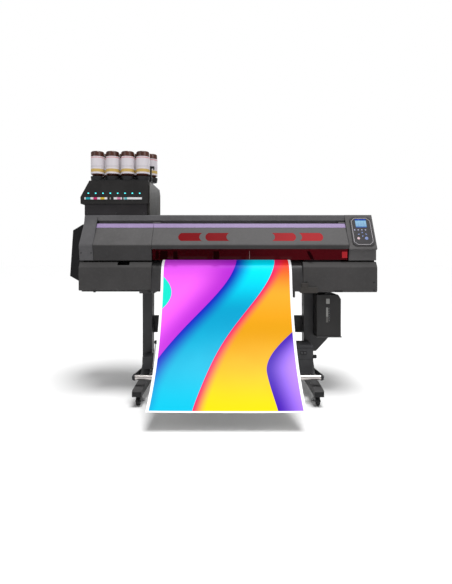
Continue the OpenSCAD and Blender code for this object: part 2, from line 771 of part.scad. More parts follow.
module ink_bezel() {
    color("#3a393c") machine() difference() {
        bezel_body(bezel_x0, bezel_x1, ink_front_y, ink_rear_y, bezel_z, bezel_h);
        lamp_row();
        bezel_body(bezel_x0 + 4, bezel_x1 - 4, ink_front_y + 5, ink_rear_y - 4, bezel_z - 6, bezel_h - 2);
    }
}
// Bottles stand neck down in two stepped rows
module bottle() {
    rotate_extrude() polygon([[0, 0], [20, 0], [20, 18], [16, 20], [16, 26],
        [bottle_r - 4, 42], [bottle_r, 48], [bottle_r, bottle_h - 6], [bottle_r - 5, bottle_h], [0, bottle_h]]);
}
module ink_bottles() {
    color("#3b1c14") machine() for (r = [0, 1], i = [0 : 3]) {
        translate([first_bottle_x + i * bottle_pitch + r * row_shift, row_y[r],
            bezel_z + bezel_h + r * step_h]) bottle();
    }
}

// ---------- Take-up unit ----------
motor_x = [leg_x - 114, leg_x - 3];
motor_y = [-180, post_front];
motor_z = [139, 317];
spool_yz = [-108, 204];
flange_r = 50;
flange_t = 6;
plug_r = 37.9;
plug_l = 40;
knob_l = 34;
knob_yz = [-120, 236];
spool_shaft_r = 8;
module takeup_motor() {
    color("#3e3e40") placed() difference() {
        union() {
            block([motor_x[0], motor_y[0], motor_z[0]], [motor_x[1], post_front - gusset_reach, motor_z[1]]);
            block([motor_x[0], post_front - gusset_reach - 1, foot_seat + gusset_h + 5],
                [motor_x[1], motor_y[1], motor_z[1]]);
            rod_x(motor_x[1], motor_x[1] + knob_l, knob_yz, 10);
        }
        rod_x(motor_x[0] - 1, motor_x[0] + 30, spool_yz, spool_shaft_r + fit_gap);
    }
}
module takeup_flange() {
    x = motor_x[0] - 5;
    color("#242426") placed() {
        rod_x(x - flange_t, x, spool_yz, flange_r);
        rod_x(x - flange_t - plug_l, x - flange_t, spool_yz, plug_r);
        rod_x(x - 1, motor_x[0] + 28, spool_yz, spool_shaft_r);
    }
}
holder_x = [-leg_x - 8, -leg_x + 65];
plug_travel = 24;
lever_yz = [-162, 180];
lever_foot = [-leg_x + 60, lever_yz.y];
lever_l = 150;
module roll_holder() {
    color("#2f2f31") placed() difference() {
        union() {
            block([holder_x[0], -154, 168], [holder_x[1], post_front - 31, 239]);
            block([holder_x[0], post_front - 32, foot_seat + gusset_h + 5], [holder_x[1], post_front, 239]);
        }
        rod_x(holder_x[0] + 10, holder_x[1] + 1, spool_yz, spool_shaft_r + fit_gap);
        rod_y(-155, -140, lever_foot, 4 + fit_gap);
    }
}
module holder_plug() {
    x = holder_x[1] + plug_travel + 2;
    color("#242426") placed() {
        rod_x(x, x + flange_t, spool_yz, flange_r);
        rod_x(x + flange_t, x + flange_t + plug_l, spool_yz, plug_r);
        rod_x(holder_x[0] + 38, x + 1, spool_yz, spool_shaft_r);
    }
}
module holder_lever() {
    color("#8a8c8f") placed() {
        rod_y(-166, -142, lever_foot, 4);
        along_y(-164, -158) translate(lever_foot) rotate(-6) translate([-4, -4]) square([8, lever_l]);
        translate([lever_foot.x, -161, lever_foot.y]) rotate([0, 6, 0]) translate([0, 0, lever_l - 8])
            cylinder(r = 8, h = 18);
    }
}

// Loose tension bar on two swinging arms
bar_yz = [-280, 154];
bar_r = 14.5;
arm_x = leg_x + post_w / 2 + 3;
arm_t = 5;
module tension_bar() {
    color("#b9b5b1") placed() {
        rod_x(-arm_x - 1, arm_x + 1, bar_yz, bar_r);
        for (s = [-1, 1]) {
            x = s > 0 ? arm_x : -arm_x - arm_t;
            rod_x(s > 0 ? arm_x - 10 : -arm_x, s > 0 ? arm_x : -arm_x + 10, bar_yz, 19);
            difference() {
                along_x(x, x + arm_t) arm_outline();
                rod_x(x - 1, x + arm_t + 1, bar_pivot, pivot_r + fit_gap);
            }
        }
    }
}
module arm_outline() {
    run = unit(bar_yz - bar_pivot);
    polygon([bar_pivot + side(run) * 16 - run * 16, bar_pivot - side(run) * 16 - run * 16,
        bar_yz - side(run) * 12 + run * 16, bar_yz + side(run) * 12 + run * 16]);
}

// Waste ink tank with a chamfered corner and two sight windows
module waste_tank() {
    color("#38383a") placed() difference() {
        along_y(tank_front, tank_front + tank_d)
            polygon([[tank_x0, shelf_z], [tank_x0 + tank_w, shelf_z], [tank_x0 + tank_w, shelf_z + tank_h - 26],
                [tank_x0 + tank_w - 16, shelf_z + tank_h], [tank_x0, shelf_z + tank_h]]);
        block([tank_x0 + 4, tank_front + 4, shelf_z - 1],
            [tank_x0 + tank_w - 4, tank_front + tank_d - 4, shelf_z + tank_h - 30]);
        block([tank_x0 + 56, tank_front - 1, shelf_z + 200], [tank_x0 + 80, tank_front + 2, shelf_z + 233]);
        block([tank_x0 + 56, tank_front - 1, shelf_z + 85], [tank_x0 + 71, tank_front + 2, shelf_z + 179]);
    }
}

// ---------- Media ----------
module media_sheet() {
    color("#e9e4ef") placed()
        along_x(media_x - media_w / 2, media_x + media_w / 2) polygon(sheet_outline);
}
module media_roll() {
    color("#f2f0ec") placed() difference() {
        rod_x(media_x - media_w / 2, media_x + media_w / 2, [roll_y, roll_z], roll_r);
        rod_x(media_x - media_w, media_x + media_w, [roll_y, roll_z], core_r);
    }
}
roll_plug_l = 34;
module rear_roll_holders() {
    color("#2d2d2f") placed() {
        for (s = [-1, 1]) {
            edge = media_x + s * (media_w / 2 + 1);
            face_x = edge + s * 12;
            block([min(edge, face_x), roll_y - 22, roll_z - 20], [max(edge, face_x), roll_y + 22, body_z - 25]);
            plug_x = edge - s * roll_plug_l;
            rod_x(min(edge, plug_x), max(edge, plug_x), [roll_y, roll_z], core_r - fit_gap);
        }
        block([-leg_x + post_w / 2, roll_y - 22, body_z - 25], [leg_x - post_w / 2, roll_y + 12, body_z]);
    }
}

// Power inlet on the rear plate
inlet_x = -760;
inlet_z = 60;
module power_inlet() {
    color("#161617") machine() {
        difference() {
            block([inlet_x - 25, tray_rear, inlet_z - 16], [inlet_x + 25, tray_rear + 20, inlet_z + 16]);
            block([inlet_x - 12, tray_rear + 4, inlet_z - 8], [inlet_x + 12, tray_rear + 21, inlet_z + 8]);
        }
        for (x = [-7, 0, 7]) {
            block([inlet_x + x - 1, tray_rear + 3, inlet_z - 2], [inlet_x + x + 1, tray_rear + 14, inlet_z + 2]);
        }
    }
}

left_post();
right_post();
left_foot();
right_foot();
rear_stay();
stand_brackets();
levelling_feet();
caster_fork_fl();
caster_fork_fr();
caster_fork_rl();
caster_fork_rr();
caster_wheel_fl();
caster_wheel_fr();
caster_wheel_rl();
caster_wheel_rr();
base_frame();
guide_rail();
platen();
front_guide();
rear_guide();
left_end_cover();
left_front_cover();
right_end_cover();
top_cover();
right_lower_cover();
side_box();
main_cover();
cover_windows();
cover_stripe();
left_lower_cover();
keypad_panel();
display();
key_up();
key_down();
key_left();
key_right();
key_stop();
key_enter();
print_carriage();
cutter_carriage();
blade_holder();
grit_roller();
pinch_arms();
pinch_rollers();
capping_station();
ink_base();
ink_bezel();
ink_lamps();
ink_bottles();
takeup_motor();
takeup_flange();
roll_holder();
holder_plug();
holder_lever();
tension_bar();
waste_tank();
media_sheet();
media_roll();
rear_roll_holders();
power_inlet();
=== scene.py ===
import math

import bmesh
import bpy
from mathutils import Matrix, Vector


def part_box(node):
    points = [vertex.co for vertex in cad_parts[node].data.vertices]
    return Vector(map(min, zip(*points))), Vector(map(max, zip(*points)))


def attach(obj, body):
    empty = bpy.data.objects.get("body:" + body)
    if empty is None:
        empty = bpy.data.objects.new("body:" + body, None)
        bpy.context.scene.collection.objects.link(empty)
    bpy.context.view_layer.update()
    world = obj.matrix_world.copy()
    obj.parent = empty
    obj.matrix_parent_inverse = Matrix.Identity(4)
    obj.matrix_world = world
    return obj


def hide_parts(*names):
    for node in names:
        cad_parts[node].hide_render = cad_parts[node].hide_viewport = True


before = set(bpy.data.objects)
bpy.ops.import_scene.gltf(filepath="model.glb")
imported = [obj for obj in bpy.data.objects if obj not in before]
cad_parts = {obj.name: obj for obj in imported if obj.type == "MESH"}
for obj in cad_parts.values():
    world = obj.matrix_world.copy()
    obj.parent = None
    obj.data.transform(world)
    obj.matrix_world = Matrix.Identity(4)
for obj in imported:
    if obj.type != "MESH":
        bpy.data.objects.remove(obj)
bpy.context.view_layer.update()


# ---------- Foot beams ----------
# Two black powder-coated steel beams carry the posts. Plastic caps close their ends and
# socket screws clamp each gusset to its post.
beam_low, beam_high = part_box("left_foot")
posts_middle = (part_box("left_post")[0].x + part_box("right_post")[1].x) / 2
to_row = Matrix.Translation((posts_middle, (beam_low.y + beam_high.y) / 2, 0)) @ Matrix.Scale(0.001, 4)
to_mm = to_row.inverted()
leg_x, foot_half = 515, 350
ends = [(side, end) for side in (-1, 1) for end in (-1, 1)]
front, back, left, right, up = (0, -1, 0), (0, 1, 0), (-1, 0, 0), (1, 0, 0), (0, 0, 1)


class Wire:
    """One output of a finish's nodes; arithmetic on it adds the Math nodes."""

    def __init__(self, finish, socket):
        self.finish, self.socket = finish, socket

    def maths(self, operation, *values):
        return self.finish.add("Math", dict(operation=operation), *values)

    def __add__(self, other):
        return self.maths("ADD", self, other)

    def __sub__(self, other):
        return self.maths("SUBTRACT", self, other)

    def __rsub__(self, other):
        return self.maths("SUBTRACT", other, self)

    def __mul__(self, other):
        return self.maths("MULTIPLY", self, other)

    __radd__, __rmul__ = __add__, __mul__


class Finish:
    """A surface finish: constants sit on the shader's sockets, what varies comes through nodes."""

    def __init__(self, name, **fixed):
        self.material = bpy.data.materials.new(name)
        self.material.use_nodes = True
        self.tree = self.material.node_tree
        self.shader = self.tree.nodes["Principled BSDF"]
        for socket, value in fixed.items():
            self.shader.inputs[socket.replace("_", " ")].default_value = value

    def add(self, kind, settings=None, *values, out=0, **named):
        made = self.tree.nodes.new("ShaderNode" + kind)
        for name, value in (settings or {}).items():
            setattr(made, name, value)
        shown = [s for s in made.inputs if s.enabled]
        for socket, value in zip(shown, values):
            self.feed(socket, value)
        for name, value in named.items():
            self.feed(next(s for s in shown if s.name == name.replace("_", " ")), value)
        return Wire(self, [s for s in made.outputs if s.enabled][out])

    def feed(self, socket, value):
        if isinstance(value, Wire):
            self.tree.links.new(value.socket, socket)
        else:
            socket.default_value = value

    def place(self):
        """Object coordinates, which are metres in the machine's own frame."""
        return self.add("TexCoord", None, out=3)

    def axis(self, index):
        return self.add("SeparateXYZ", None, self.place(), out=index)

    def unrolled(self, uv_map):
        """A UV map of the piece: both coordinates together, then each alone."""
        spot = self.add("UVMap", dict(uv_map=uv_map))
        return [spot] + [self.add("SeparateXYZ", None, spot, out=i) for i in (0, 1)]

    def noise(self, scale, detail=3.0, stretch=(1, 1, 1)):
        where = self.add("Mapping", None, Vector=self.place(), Scale=stretch)
        return self.add("TexNoise", None, where, Scale=scale, Detail=detail)

    def span(self, value, low, high, to_low=0.0, to_high=1.0):
        """value from low to high becomes to_low to to_high, eased and held at its ends."""
        return self.add("MapRange", dict(interpolation_type="SMOOTHSTEP"), value, low, high,
                        to_low, to_high)

    def blend(self, share, first, second, mode="MIX"):
        return self.add("Mix", dict(data_type="RGBA", blend_type=mode), share, first, second)

    def fade(self, value, low, high, first, second):
        """first where value is under low, second where it is over high, eased between them."""
        return self.blend(self.span(value, low, high), first, second)

    def edges(self, width):
        """1 within about width of a corner, 0 on the flats."""
        rounded = self.add("Bevel", dict(samples=4), width)
        flat = self.add("NewGeometry", None, out=1)
        same = self.add("VectorMath", dict(operation="DOT_PRODUCT"), rounded, flat, out=0)
        return self.span(same, 0.995, 0.9, 0.0, 1.0)

    def surface(self, colour, rough=None, bump=None, depth=0.0002, strength=0.3, glow=None):
        for socket, value in (("Base Color", colour), ("Roughness", rough), ("Emission Color", glow)):
            if value is not None:
                self.feed(self.shader.inputs[socket], value)
        if bump is not None:
            relief = self.add("Bump", None, Height=bump, Distance=depth, Strength=strength)
            self.feed(self.shader.inputs["Normal"], relief)
        return self.material


def tone(colour, factor):
    return (min(1, colour[0] * factor), min(1, colour[1] * factor), min(1, colour[2] * factor), 1.0)


def coated(name, colour, rough=0.45, grain=1400, relief=0.00015, spread=0.14, worn=1.7, rub=0.003,
           **fixed):
    """Coated metal or moulded plastic: fine grain, faint cloudiness, paler rubbed edges."""
    fixed.setdefault("Specular_IOR_Level", 0.2)
    finish = Finish(name, **fixed)
    cloud = finish.span(finish.noise(7.0, 4.0), 0.3, 0.7)
    dust = finish.span(finish.noise(60.0, 5.0), 0.45, 0.75)
    grit = finish.noise(grain, 2.0)
    body = finish.blend(cloud, tone(colour, 1 - spread), tone(colour, 1 + spread))
    body = finish.blend(dust * 0.12, body, tone(colour, 1.9))
    if worn > 1:
        rubbed = finish.edges(rub) * finish.span(finish.noise(38.0, 5.0), 0.38, 0.62)
        body = finish.blend(rubbed * 0.55, body, tone(colour, worn))
    uneven = cloud * 0.08 + dust * 0.06 + grit * 0.08 + (rough - 0.1)
    return finish.surface(body, uneven, grit, relief)


def cad_shape(node):
    """A CAD node's solid in millimetres, its loose triangles merged back into whole faces."""
    bm = bmesh.new()
    bm.from_mesh(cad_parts[node].data)
    bmesh.ops.transform(bm, matrix=to_mm, verts=bm.verts)
    bmesh.ops.remove_doubles(bm, verts=bm.verts, dist=0.02)
    bmesh.ops.dissolve_limit(bm, angle_limit=math.radians(0.8), verts=bm.verts, edges=bm.edges)
    return bm


def run_edges(bm, *lines, reach=0.8):
    """The edges that run along X through the (Y, Z) points given."""
    return [e for e in bm.edges if abs(e.verts[0].co.x - e.verts[1].co.x) > 4 and any(
        all(abs(v.co.y - y) < reach and abs(v.co.z - z) < reach for v in e.verts) for y, z in lines)]


def round_off(bm, edges, width, segments=4):
    bmesh.ops.bevel(bm, geom=edges, offset=width, offset_type="OFFSET", affect="EDGES",
                    segments=segments, profile=0.5, material=-1, clamp_overlap=True)


def soften(bm, width=1.0, segments=2, over=28):
    """Rounds every corner sharper than over degrees, as a mould or a coat of paint does."""
    bm.normal_update()
    corners = [e for e in bm.edges if len(e.link_faces) == 2
               and e.calc_face_angle(0) > math.radians(over) and e.calc_length() > 0.3]
    round_off(bm, corners, width, segments)


def block(bm, low, high):
    made = bmesh.ops.create_cube(bm, size=1)["verts"]
    size = Vector(high) - Vector(low)
    bmesh.ops.transform(bm, matrix=Matrix.Translation((Vector(low) + Vector(high)) / 2)
                        @ Matrix.Diagonal((*size, 1)), verts=made)
    return made


def rod(bm, start, end, radius, sides=32, end_radius=None):
    start, end = Vector(start), Vector(end)
    along = end - start
    turn = along.to_track_quat("Z", "Y").to_matrix().to_4x4()
    return bmesh.ops.create_cone(
        bm, cap_ends=True, segments=sides, radius1=radius,
        radius2=radius if end_radius is None else end_radius, depth=along.length,
        matrix=Matrix.Translation((start + end) / 2) @ turn)["verts"]


def turned(bm, profile, start, along, steps=40):
    """A lathe-turned shape: (radius, distance) pairs spun about the line from start along along."""
    line = [bm.verts.new((max(r, 0.0), 0, h)) for r, h in profile]
    edges = [bm.edges.new(pair) for pair in zip(line, line[1:])]
    bmesh.ops.spin(bm, geom=line + edges, cent=(0, 0, 0), axis=(0, 0, 1), angle=2 * math.pi,
                   steps=steps, use_merge=True)
    linked, waiting = set(line), list(line)
    while waiting:
        fresh = {v for e in waiting.pop().link_edges for v in e.verts} - linked
        linked |= fresh
        waiting.extend(fresh)
    made = list(linked)
    bmesh.ops.remove_doubles(bm, verts=made, dist=0.001)
    made = [v for v in made if v.is_valid]
    faces = list({f for v in made for f in v.link_faces})
    bmesh.ops.recalc_face_normals(bm, faces=faces)
    turn = Vector(along).to_track_quat("Z", "Y").to_matrix().to_4x4()
    bmesh.ops.transform(bm, matrix=Matrix.Translation(start) @ turn, verts=made)
    return made


def in_scene(name, data):
    made = bpy.data.objects.new(name, data)
    bpy.context.scene.collection.objects.link(made)
    return made


def finished(bm, name, body, slot, materials, stands_for=(), crease=38, weighted=True):
    """Takes a mesh in millimetres to its place on the machine, as a piece that rides on body."""
    bm.normal_update()
    for face in bm.faces:
        face.smooth = True
    for edge in bm.edges:
        edge.smooth = len(edge.link_faces) == 2 and edge.calc_face_angle(0) < math.radians(crease)
    bmesh.ops.transform(bm, matrix=to_row, verts=bm.verts)
    mesh = bpy.data.meshes.new(name)
    bm.to_mesh(mesh)
    bm.free()
    for material in materials if isinstance(materials, (list, tuple)) else [materials]:
        mesh.materials.append(material)
    piece = in_scene(name, mesh)
    if weighted:
        even = piece.modifiers.new("even_normals", "WEIGHTED_NORMAL")
        even.keep_sharp = True
    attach(piece, body)
    if stands_for:
        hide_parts(*stands_for)
    return piece


def restated(node, body, slot, material, width=1.0, bends=(), bend=10, **more):
    """A CAD node again, its bends rounded by bend and its other corners by width."""
    bm = cad_shape(node)
    if bends:
        round_off(bm, run_edges(bm, *bends), bend, 5)
    soften(bm, width)
    return finished(bm, node + "_skin", body, slot, material, [node], **more)


beam_paint = coated("beam powder coat", (0.062, 0.061, 0.062), 0.48, 900, 0.0003)
for node in ("left_foot", "right_foot"):
    restated(node, "root", "foot_black", beam_paint, 2.2)
cap_plastic = coated("black end caps", (0.016, 0.016, 0.017), 0.55, 1600)
screw_zinc = coated("blackened screws", (0.09, 0.09, 0.095), 0.32, 2500, 0.00005, Metallic=0.8)


def socket_screw(bm, at, along, radius=5.0, proud=3.5):
    """A round head with a hexagon socket in it."""
    turned(bm, [(0, 0), (radius, 0), (radius, proud - 0.8), (radius - 0.8, proud), (radius * 0.52, proud),
                (radius * 0.5, proud - 2), (0, proud - 2)], at, along, 18)


def hex_bolt(bm, at, along, across=6.5, proud=4.5):
    """A hexagon head on a washer."""
    at, along = Vector(at), Vector(along).normalized()
    rod(bm, at, at + along * 1.2, across * 1.45, 24)
    rod(bm, at + along * 1.2, at + along * proud, across, 6)


def boxes(name, body, slot, material, corners, width=0, segments=2):
    """Square-cut parts, given by their low and high corners, with their edges softened."""
    bm = bmesh.new()
    for low, high in corners:
        block(bm, low, high)
    if width:
        soften(bm, width, segments)
    return finished(bm, name, body, slot, material)


def screws(name, body, slot, material, *kinds):
    """Socket screws of one or more kinds, each a radius, a height and its (place, direction) pairs."""
    bm = bmesh.new()
    for radius, proud, places in kinds:
        for at, along in places:
            socket_screw(bm, at, along, radius, proud)
    return finished(bm, name, body, slot, material)


cap_half, cap_thick, cap_low, cap_high = 26, 2.5, 63.5, 90.5
boxes("beam_end_caps", "root", "caster_black", cap_plastic,
      [((side * leg_x - cap_half, min(end * foot_half, end * (foot_half + cap_thick)), cap_low),
        (side * leg_x + cap_half, max(end * foot_half, end * (foot_half + cap_thick)), cap_high))
       for side, end in ends], 1.8, 3)
screws("gusset_screws", "root", "foot_steel", screw_zinc,
       (5.5, 3.5, [((side * leg_x + face * 27.5, y, z), (face, 0, 0)) for side, face in ends
                   for y, z in ((-62, 128), (-46, 158), (72, 128), (56, 158))]))


# ---------- Levelling feet ----------
# Four screw-down steel feet take the machine's weight off the casters. Each has a rubber
# pad, a pressed disc, a threaded stem and a hexagon lock nut under the beam.
zinc = coated("zinc plate", (0.42, 0.42, 0.43), 0.34, 1200, 0.00008, 0.08, 1.3, Metallic=0.95)
pad_rubber = coated("pad rubber", (0.018, 0.018, 0.018), 0.8, 900, 0.0003, worn=1)
foot_y, nut_low, nut_high, nut_across = 220, 52, 61.8, 11
thread = [(5.2 + 0.8 * (i % 2), 20 + i * 1.25) for i in range(34)]
metal, pads = bmesh.new(), bmesh.new()
for side, end in ends:
    x, y = side * leg_x, end * foot_y
    turned(metal, [(20, 3), (20, 8.5), (18.5, 10), (12, 11.5), (10.5, 16), (8, 18.5), (6, 19)]
           + thread + [(0, 62)], (x, y, 0), up, 28)
    rod(metal, (x, y, nut_low), (x, y, nut_high), nut_across, 6)
    turned(pads, [(0, 0), (19, 0), (20.5, 1.2), (20.5, 3.6), (19.6, 4.4), (0, 4.4)],
           (x, y, 0), up, 32)
finished(metal, "levelling_feet_metal", "root", "foot_steel", zinc, ["levelling_feet"])
finished(pads, "levelling_pads", "root", "caster_tyre", pad_rubber)


# ---------- Casters ----------
# Four swivel casters under the beam ends: pressed steel forks on a stem, wheels with a
# rubber tyre on a moulded hub. Each wheel turns on its own axle.
fork_paint = coated("caster fork zinc", (0.05, 0.05, 0.053), 0.36, 1500, 0.0001, Metallic=0.5)
tyre_rubber = coated("tyre rubber", (0.022, 0.022, 0.023), 0.72, 700, 0.0004, worn=2.2)
hub_plastic = coated("caster hub", (0.06, 0.06, 0.063), 0.5, 1500, worn=1.4)


def around(count, radius):
    """Points evenly spaced on a circle, as pairs of offsets from its middle."""
    return [(radius * math.cos(i * math.tau / count), radius * math.sin(i * math.tau / count))
            for i in range(count)]


nut_far, nut_thick, spoke_in, spoke_radius = 3.6, 2.6, 2.6, 1.1
for code, side, end in (("fl", -1, -1), ("fr", 1, -1), ("rl", -1, 1), ("rr", 1, 1)):
    fork, wheel = "caster_fork_" + code, "caster_wheel_" + code
    bm = cad_shape(fork)
    soften(bm, 0.7)
    low, high = (to_mm @ Vector(corner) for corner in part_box(wheel))
    axle = (low + high) / 2
    x0, x1 = low.x, high.x
    for x, out in ((x0 - nut_far, -1), (x1 + nut_far, 1)):
        rod(bm, (x, axle.y, axle.z), (x + out * nut_thick, axle.y, axle.z), 5.6, 6)
    finished(bm, fork + "_skin", fork, "caster_black", fork_paint, [fork])
    radius = (high.z - low.z) / 2
    width = x1 - x0
    bm = bmesh.new()
    half = [(radius - 7, 0.6), (radius - 2.6, 0.4), (radius - 0.6, 2.4), (radius, 6)]
    turned(bm, half + [(r, width - h) for r, h in half[::-1]] + half[:1],
           (x0, axle.y, axle.z), right, 48)
    finished(bm, wheel + "_tyre", wheel, "caster_tyre", tyre_rubber, [wheel])
    bm = bmesh.new()
    half = [(4.1, 0), (7, 0), (7.6, 2.2), (radius - 9, 3.2), (radius - 7.6, 1), (radius - 6.9, 1)]
    turned(bm, half + [(r, width - h) for r, h in half[::-1]] + half[:1],
           (x0, axle.y, axle.z), right, 40)
    for (foot_dy, foot_dz), (tip_dy, tip_dz) in zip(around(6, 7), around(6, radius - 8)):
        for x in (x0 + spoke_in, x1 - spoke_in):
            rod(bm, (x, axle.y + foot_dy, axle.z + foot_dz),
                (x, axle.y + tip_dy, axle.z + tip_dz), spoke_radius, 8)
    finished(bm, wheel + "_hub", wheel, "caster_black", hub_plastic)


# ---------- Posts, stay, ledges and shelf ----------
# Two square steel tubes, a box-section stay behind them, and folded ledges that bolt to
# the machine. All are powder-coated dark grey; the right one carries the ink tank's shelf.
post_paint = coated("post powder coat", (0.05, 0.05, 0.052), 0.46, 1100, 0.00025)
ledge_paint = coated("ledge powder coat", (0.062, 0.061, 0.062), 0.46, 1100, 0.00025)
for node in ("left_post", "right_post", "rear_stay"):
    restated(node, "root", "stand_black", post_paint, 3.0 if node != "rear_stay" else 1.6)
restated("stand_brackets", "root", "stand_black", ledge_paint, 1.6)
post_front, ledge_front, ledge_rear, ledge_z = -35, -57, 67, 630
stay_rear, stay_bolts = 71, (388, 432)
bm = bmesh.new()
for side in (-1, 1):
    for z in (132, 166):
        hex_bolt(bm, (side * leg_x, post_front, z), front, 6)
    for dx in (-36, 36):
        hex_bolt(bm, (side * leg_x + dx, ledge_front, ledge_z), front, 4.6, 3.6)
        hex_bolt(bm, (side * leg_x + dx, ledge_rear, ledge_z), back, 4.6, 3.6)
    for z in stay_bolts:
        hex_bolt(bm, (side * leg_x, stay_rear, z), back, 7, 5)
    hex_bolt(bm, (side * (leg_x - 12), stay_rear, stay_bolts[0]), back, 5, 4)
for x in (560, 690):
    socket_screw(bm, (x, -120, 362), up, 4.5, 2.5)
finished(bm, "stand_bolts", "root", "foot_steel", screw_zinc)
bm = bmesh.new()
for side in (-1, 1):
    for z in (250, 420, 540):
        turned(bm, [(0, 2.2), (5.5, 2), (7.5, 0.6), (8, 0), (0, 0)], (side * (leg_x - 30), 5, z),
               (-side, 0, 0), 24)
finished(bm, "post_hole_plugs", "root", "caster_black", cap_plastic)


# ---------- Tray, rail and plates ----------
# A folded black steel tray with end plates holds the aluminium carriage beam, the rear
# plate with its louvres, and the two flat plates that the media slides over.
tray_paint = coated("tray paint", (0.034, 0.034, 0.036), 0.55, 1000, 0.0003)
restated("base_frame", "root", "frame_steel", tray_paint, 0.8)


def brushed(name, colour, rough=0.3, stretch=(2, 90, 90), **fixed):
    """Drawn or brushed metal: long fine lines along X and patchy sheen."""
    finish = Finish(name, Metallic=1.0, **fixed)
    lines = finish.noise(30.0, 6.0, stretch)
    patch = finish.noise(9.0, 3.0)
    worn = finish.edges(0.002)
    body = finish.fade(lines, 0.3, 0.7, tone(colour, 0.8), tone(colour, 1.12))
    body = finish.blend(worn * 0.3, body, tone(colour, 1.35))
    return finish.surface(body, lines * 0.16 + patch * 0.14 + (rough - 0.1), lines, 0.0001, 0.25)


beam_alu = brushed("anodised beam", (0.55, 0.56, 0.57))
restated("guide_rail", "root", "rail_alu", beam_alu, 1.0)
plate = Finish("hard anodised plate", Metallic=0.9)
holes = plate.add("TexVoronoi", dict(feature="DISTANCE_TO_EDGE"),
                  plate.add("Mapping", None, Vector=plate.place(), Scale=(1, 1, 0)),
                  Scale=60.0, Randomness=0.0)
plate_lines = plate.noise(30.0, 5.0, (2, 90, 90))
hole_shade_mask = plate.span(holes, 0.36, 0.4)
plate_body = plate.blend(plate_lines, (0.2, 0.2, 0.21, 1), (0.33, 0.34, 0.35, 1))
# The suction holes are painted near-black, a painted shade inside them, and the bump presses them in.
plate_alu = plate.surface(plate.blend(hole_shade_mask, plate_body, (0.008, 0.008, 0.008, 1)),
                          plate_lines * 0.2 + 0.28, hole_shade_mask * -1.0, 0.001, 0.6)
restated("platen", "root", "platen_alu", plate_alu, 0.8)
guide_paint = coated("guide paint", (0.04, 0.039, 0.04), 0.36, 1500, 0.0001)
restated("front_guide", "root", "guide_grey", guide_paint, 0.4)
restated("rear_guide", "root", "guide_grey", guide_paint, 0.4)
rear_y, cover_rear, hood_long, hood_high, hood_deep = 262, 290, 200, 7, 4
bm = bmesh.new()
for column in range(2):
    for row in range(9):
        x, z = -330 + column * 420, 664 + row * 13
        hood = block(bm, (x, rear_y, z), (x + hood_long, rear_y + hood_deep, z + hood_high))
        for v in hood:
            if v.co.z > z + 3 and v.co.y > rear_y + 2:
                v.co.y -= 3.4
soften(bm, 0.7)
finished(bm, "rear_louvres", "root", "frame_steel", tray_paint)
boxes("rear_gap_plates", "root", "frame_steel", tray_paint,
      [((-893, 259, 799), (-462, 262.5, 858)), ((454, 259, 799), (893, 262.5, 858)),
       ((878, -150, 818), (892, 250, 834)), ((-892, -150, 818), (-878, 250, 834))], 0.6)
bm = bmesh.new()
for x in range(-850, 851, 170):
    for z in (650, 790):
        socket_screw(bm, (x, rear_y, z), back, 4, 2)
for x in range(-780, 701, 185):
    for z in (870, 1085):
        socket_screw(bm, (x, cover_rear, z), back, 4.5, 2.2)
for x in (-425, 425):
    turned(bm, [(0, 1.1), (3.2, 0.9), (4, 0), (0, 0)], (x, -193.6, 700), (0, -1, 0.18), 16)
finished(bm, "rear_screws", "root", "foot_steel", screw_zinc)
plain_plate = coated("plain rating plate", (0.5, 0.51, 0.52), 0.35, 2000, 0.00004, 0.05, 1.2,
                     Metallic=0.7)
boxes("rating_plate", "root", "lever_steel", plain_plate,
      [((-690, rear_y, 676), (-600, rear_y + 0.8, 726))], 0.3)


# ---------- Feed rollers ----------
# A grit-coated steel roller feeds the sheet; four rubber pinch rollers on sprung arms
# press it down. The arms are black steel on one shaft.
grit = Finish("grit coating", Metallic=0.85)
grains = grit.noise(1800, 2.0)
bands = grit.span(grit.add("Math", dict(operation="FRACT"), grit.axis(0) * 9.1), 0.42, 0.5)
grit_coat = grit.surface(
    grit.blend(bands, (0.55, 0.55, 0.56, 1),
               grit.blend(grains, (0.1, 0.1, 0.105, 1), (0.34, 0.34, 0.35, 1))),
    bands * 0.4 + 0.22, grains * bands, 0.0006, 0.8)
restated("grit_roller", "grit_roller", "roller_steel", grit_coat, 0.6)
arm_paint = coated("arm coating", (0.028, 0.028, 0.03), 0.4, 1500, 0.0001)
restated("pinch_arms", "pinch_arms", "arm_black", arm_paint, 0.6)
restated("pinch_rollers", "pinch_rollers", "pinch_rubber", tyre_rubber, 1.0)
sheet_middle = -9
coil = [(5.4 if i % 2 else 4.4, i * 1.3) for i in range(20)]
bm = bmesh.new()
for x in (-330, -110, 110, 330):
    turned(bm, [(0, 0)] + coil + [(0, 26)], (sheet_middle + x, 54, 868), up, 16)
finished(bm, "pinch_springs", "pinch_arms", "roller_steel", zinc)


# ---------- Carriages and capping station ----------
# The print carriage and the cutter carriage run on one linear rail. Moulded covers hide
# heads and lamps; the capping station waits below at the right end.
carriage_plastic = coated("carriage shell", (0.05, 0.051, 0.056), 0.4, 1300)
station_plastic = coated("station shell", (0.09, 0.092, 0.098), 0.5, 1300)
carriage_face = -69
bm = cad_shape("print_carriage")
bm.normal_update()
round_off(bm, [e for e in bm.edges if len(e.link_faces) == 2 and e.calc_face_angle(0) > 1
               and all(v.co.y < carriage_face for v in e.verts)], 8, 4)
soften(bm, 1.2)
finished(bm, "print_carriage_skin", "print_carriage", "carriage_grey", carriage_plastic,
         ["print_carriage"])
bm = bmesh.new()
for x in (500, 604):
    block(bm, (x, carriage_face - 2.6, 905), (x + 96, carriage_face, 960))
block(bm, (505, -40, 999), (690, 20, 1001.5))
soften(bm, 1.4)
for x in (492, 708):
    for z in (852, 988):
        socket_screw(bm, (x, -70, z), front, 3, 1.5)
finished(bm, "print_carriage_panels", "print_carriage", "carriage_grey",
         coated("carriage panels", (0.02, 0.021, 0.024), 0.28, 1500, 0.00008))
bm = bmesh.new()
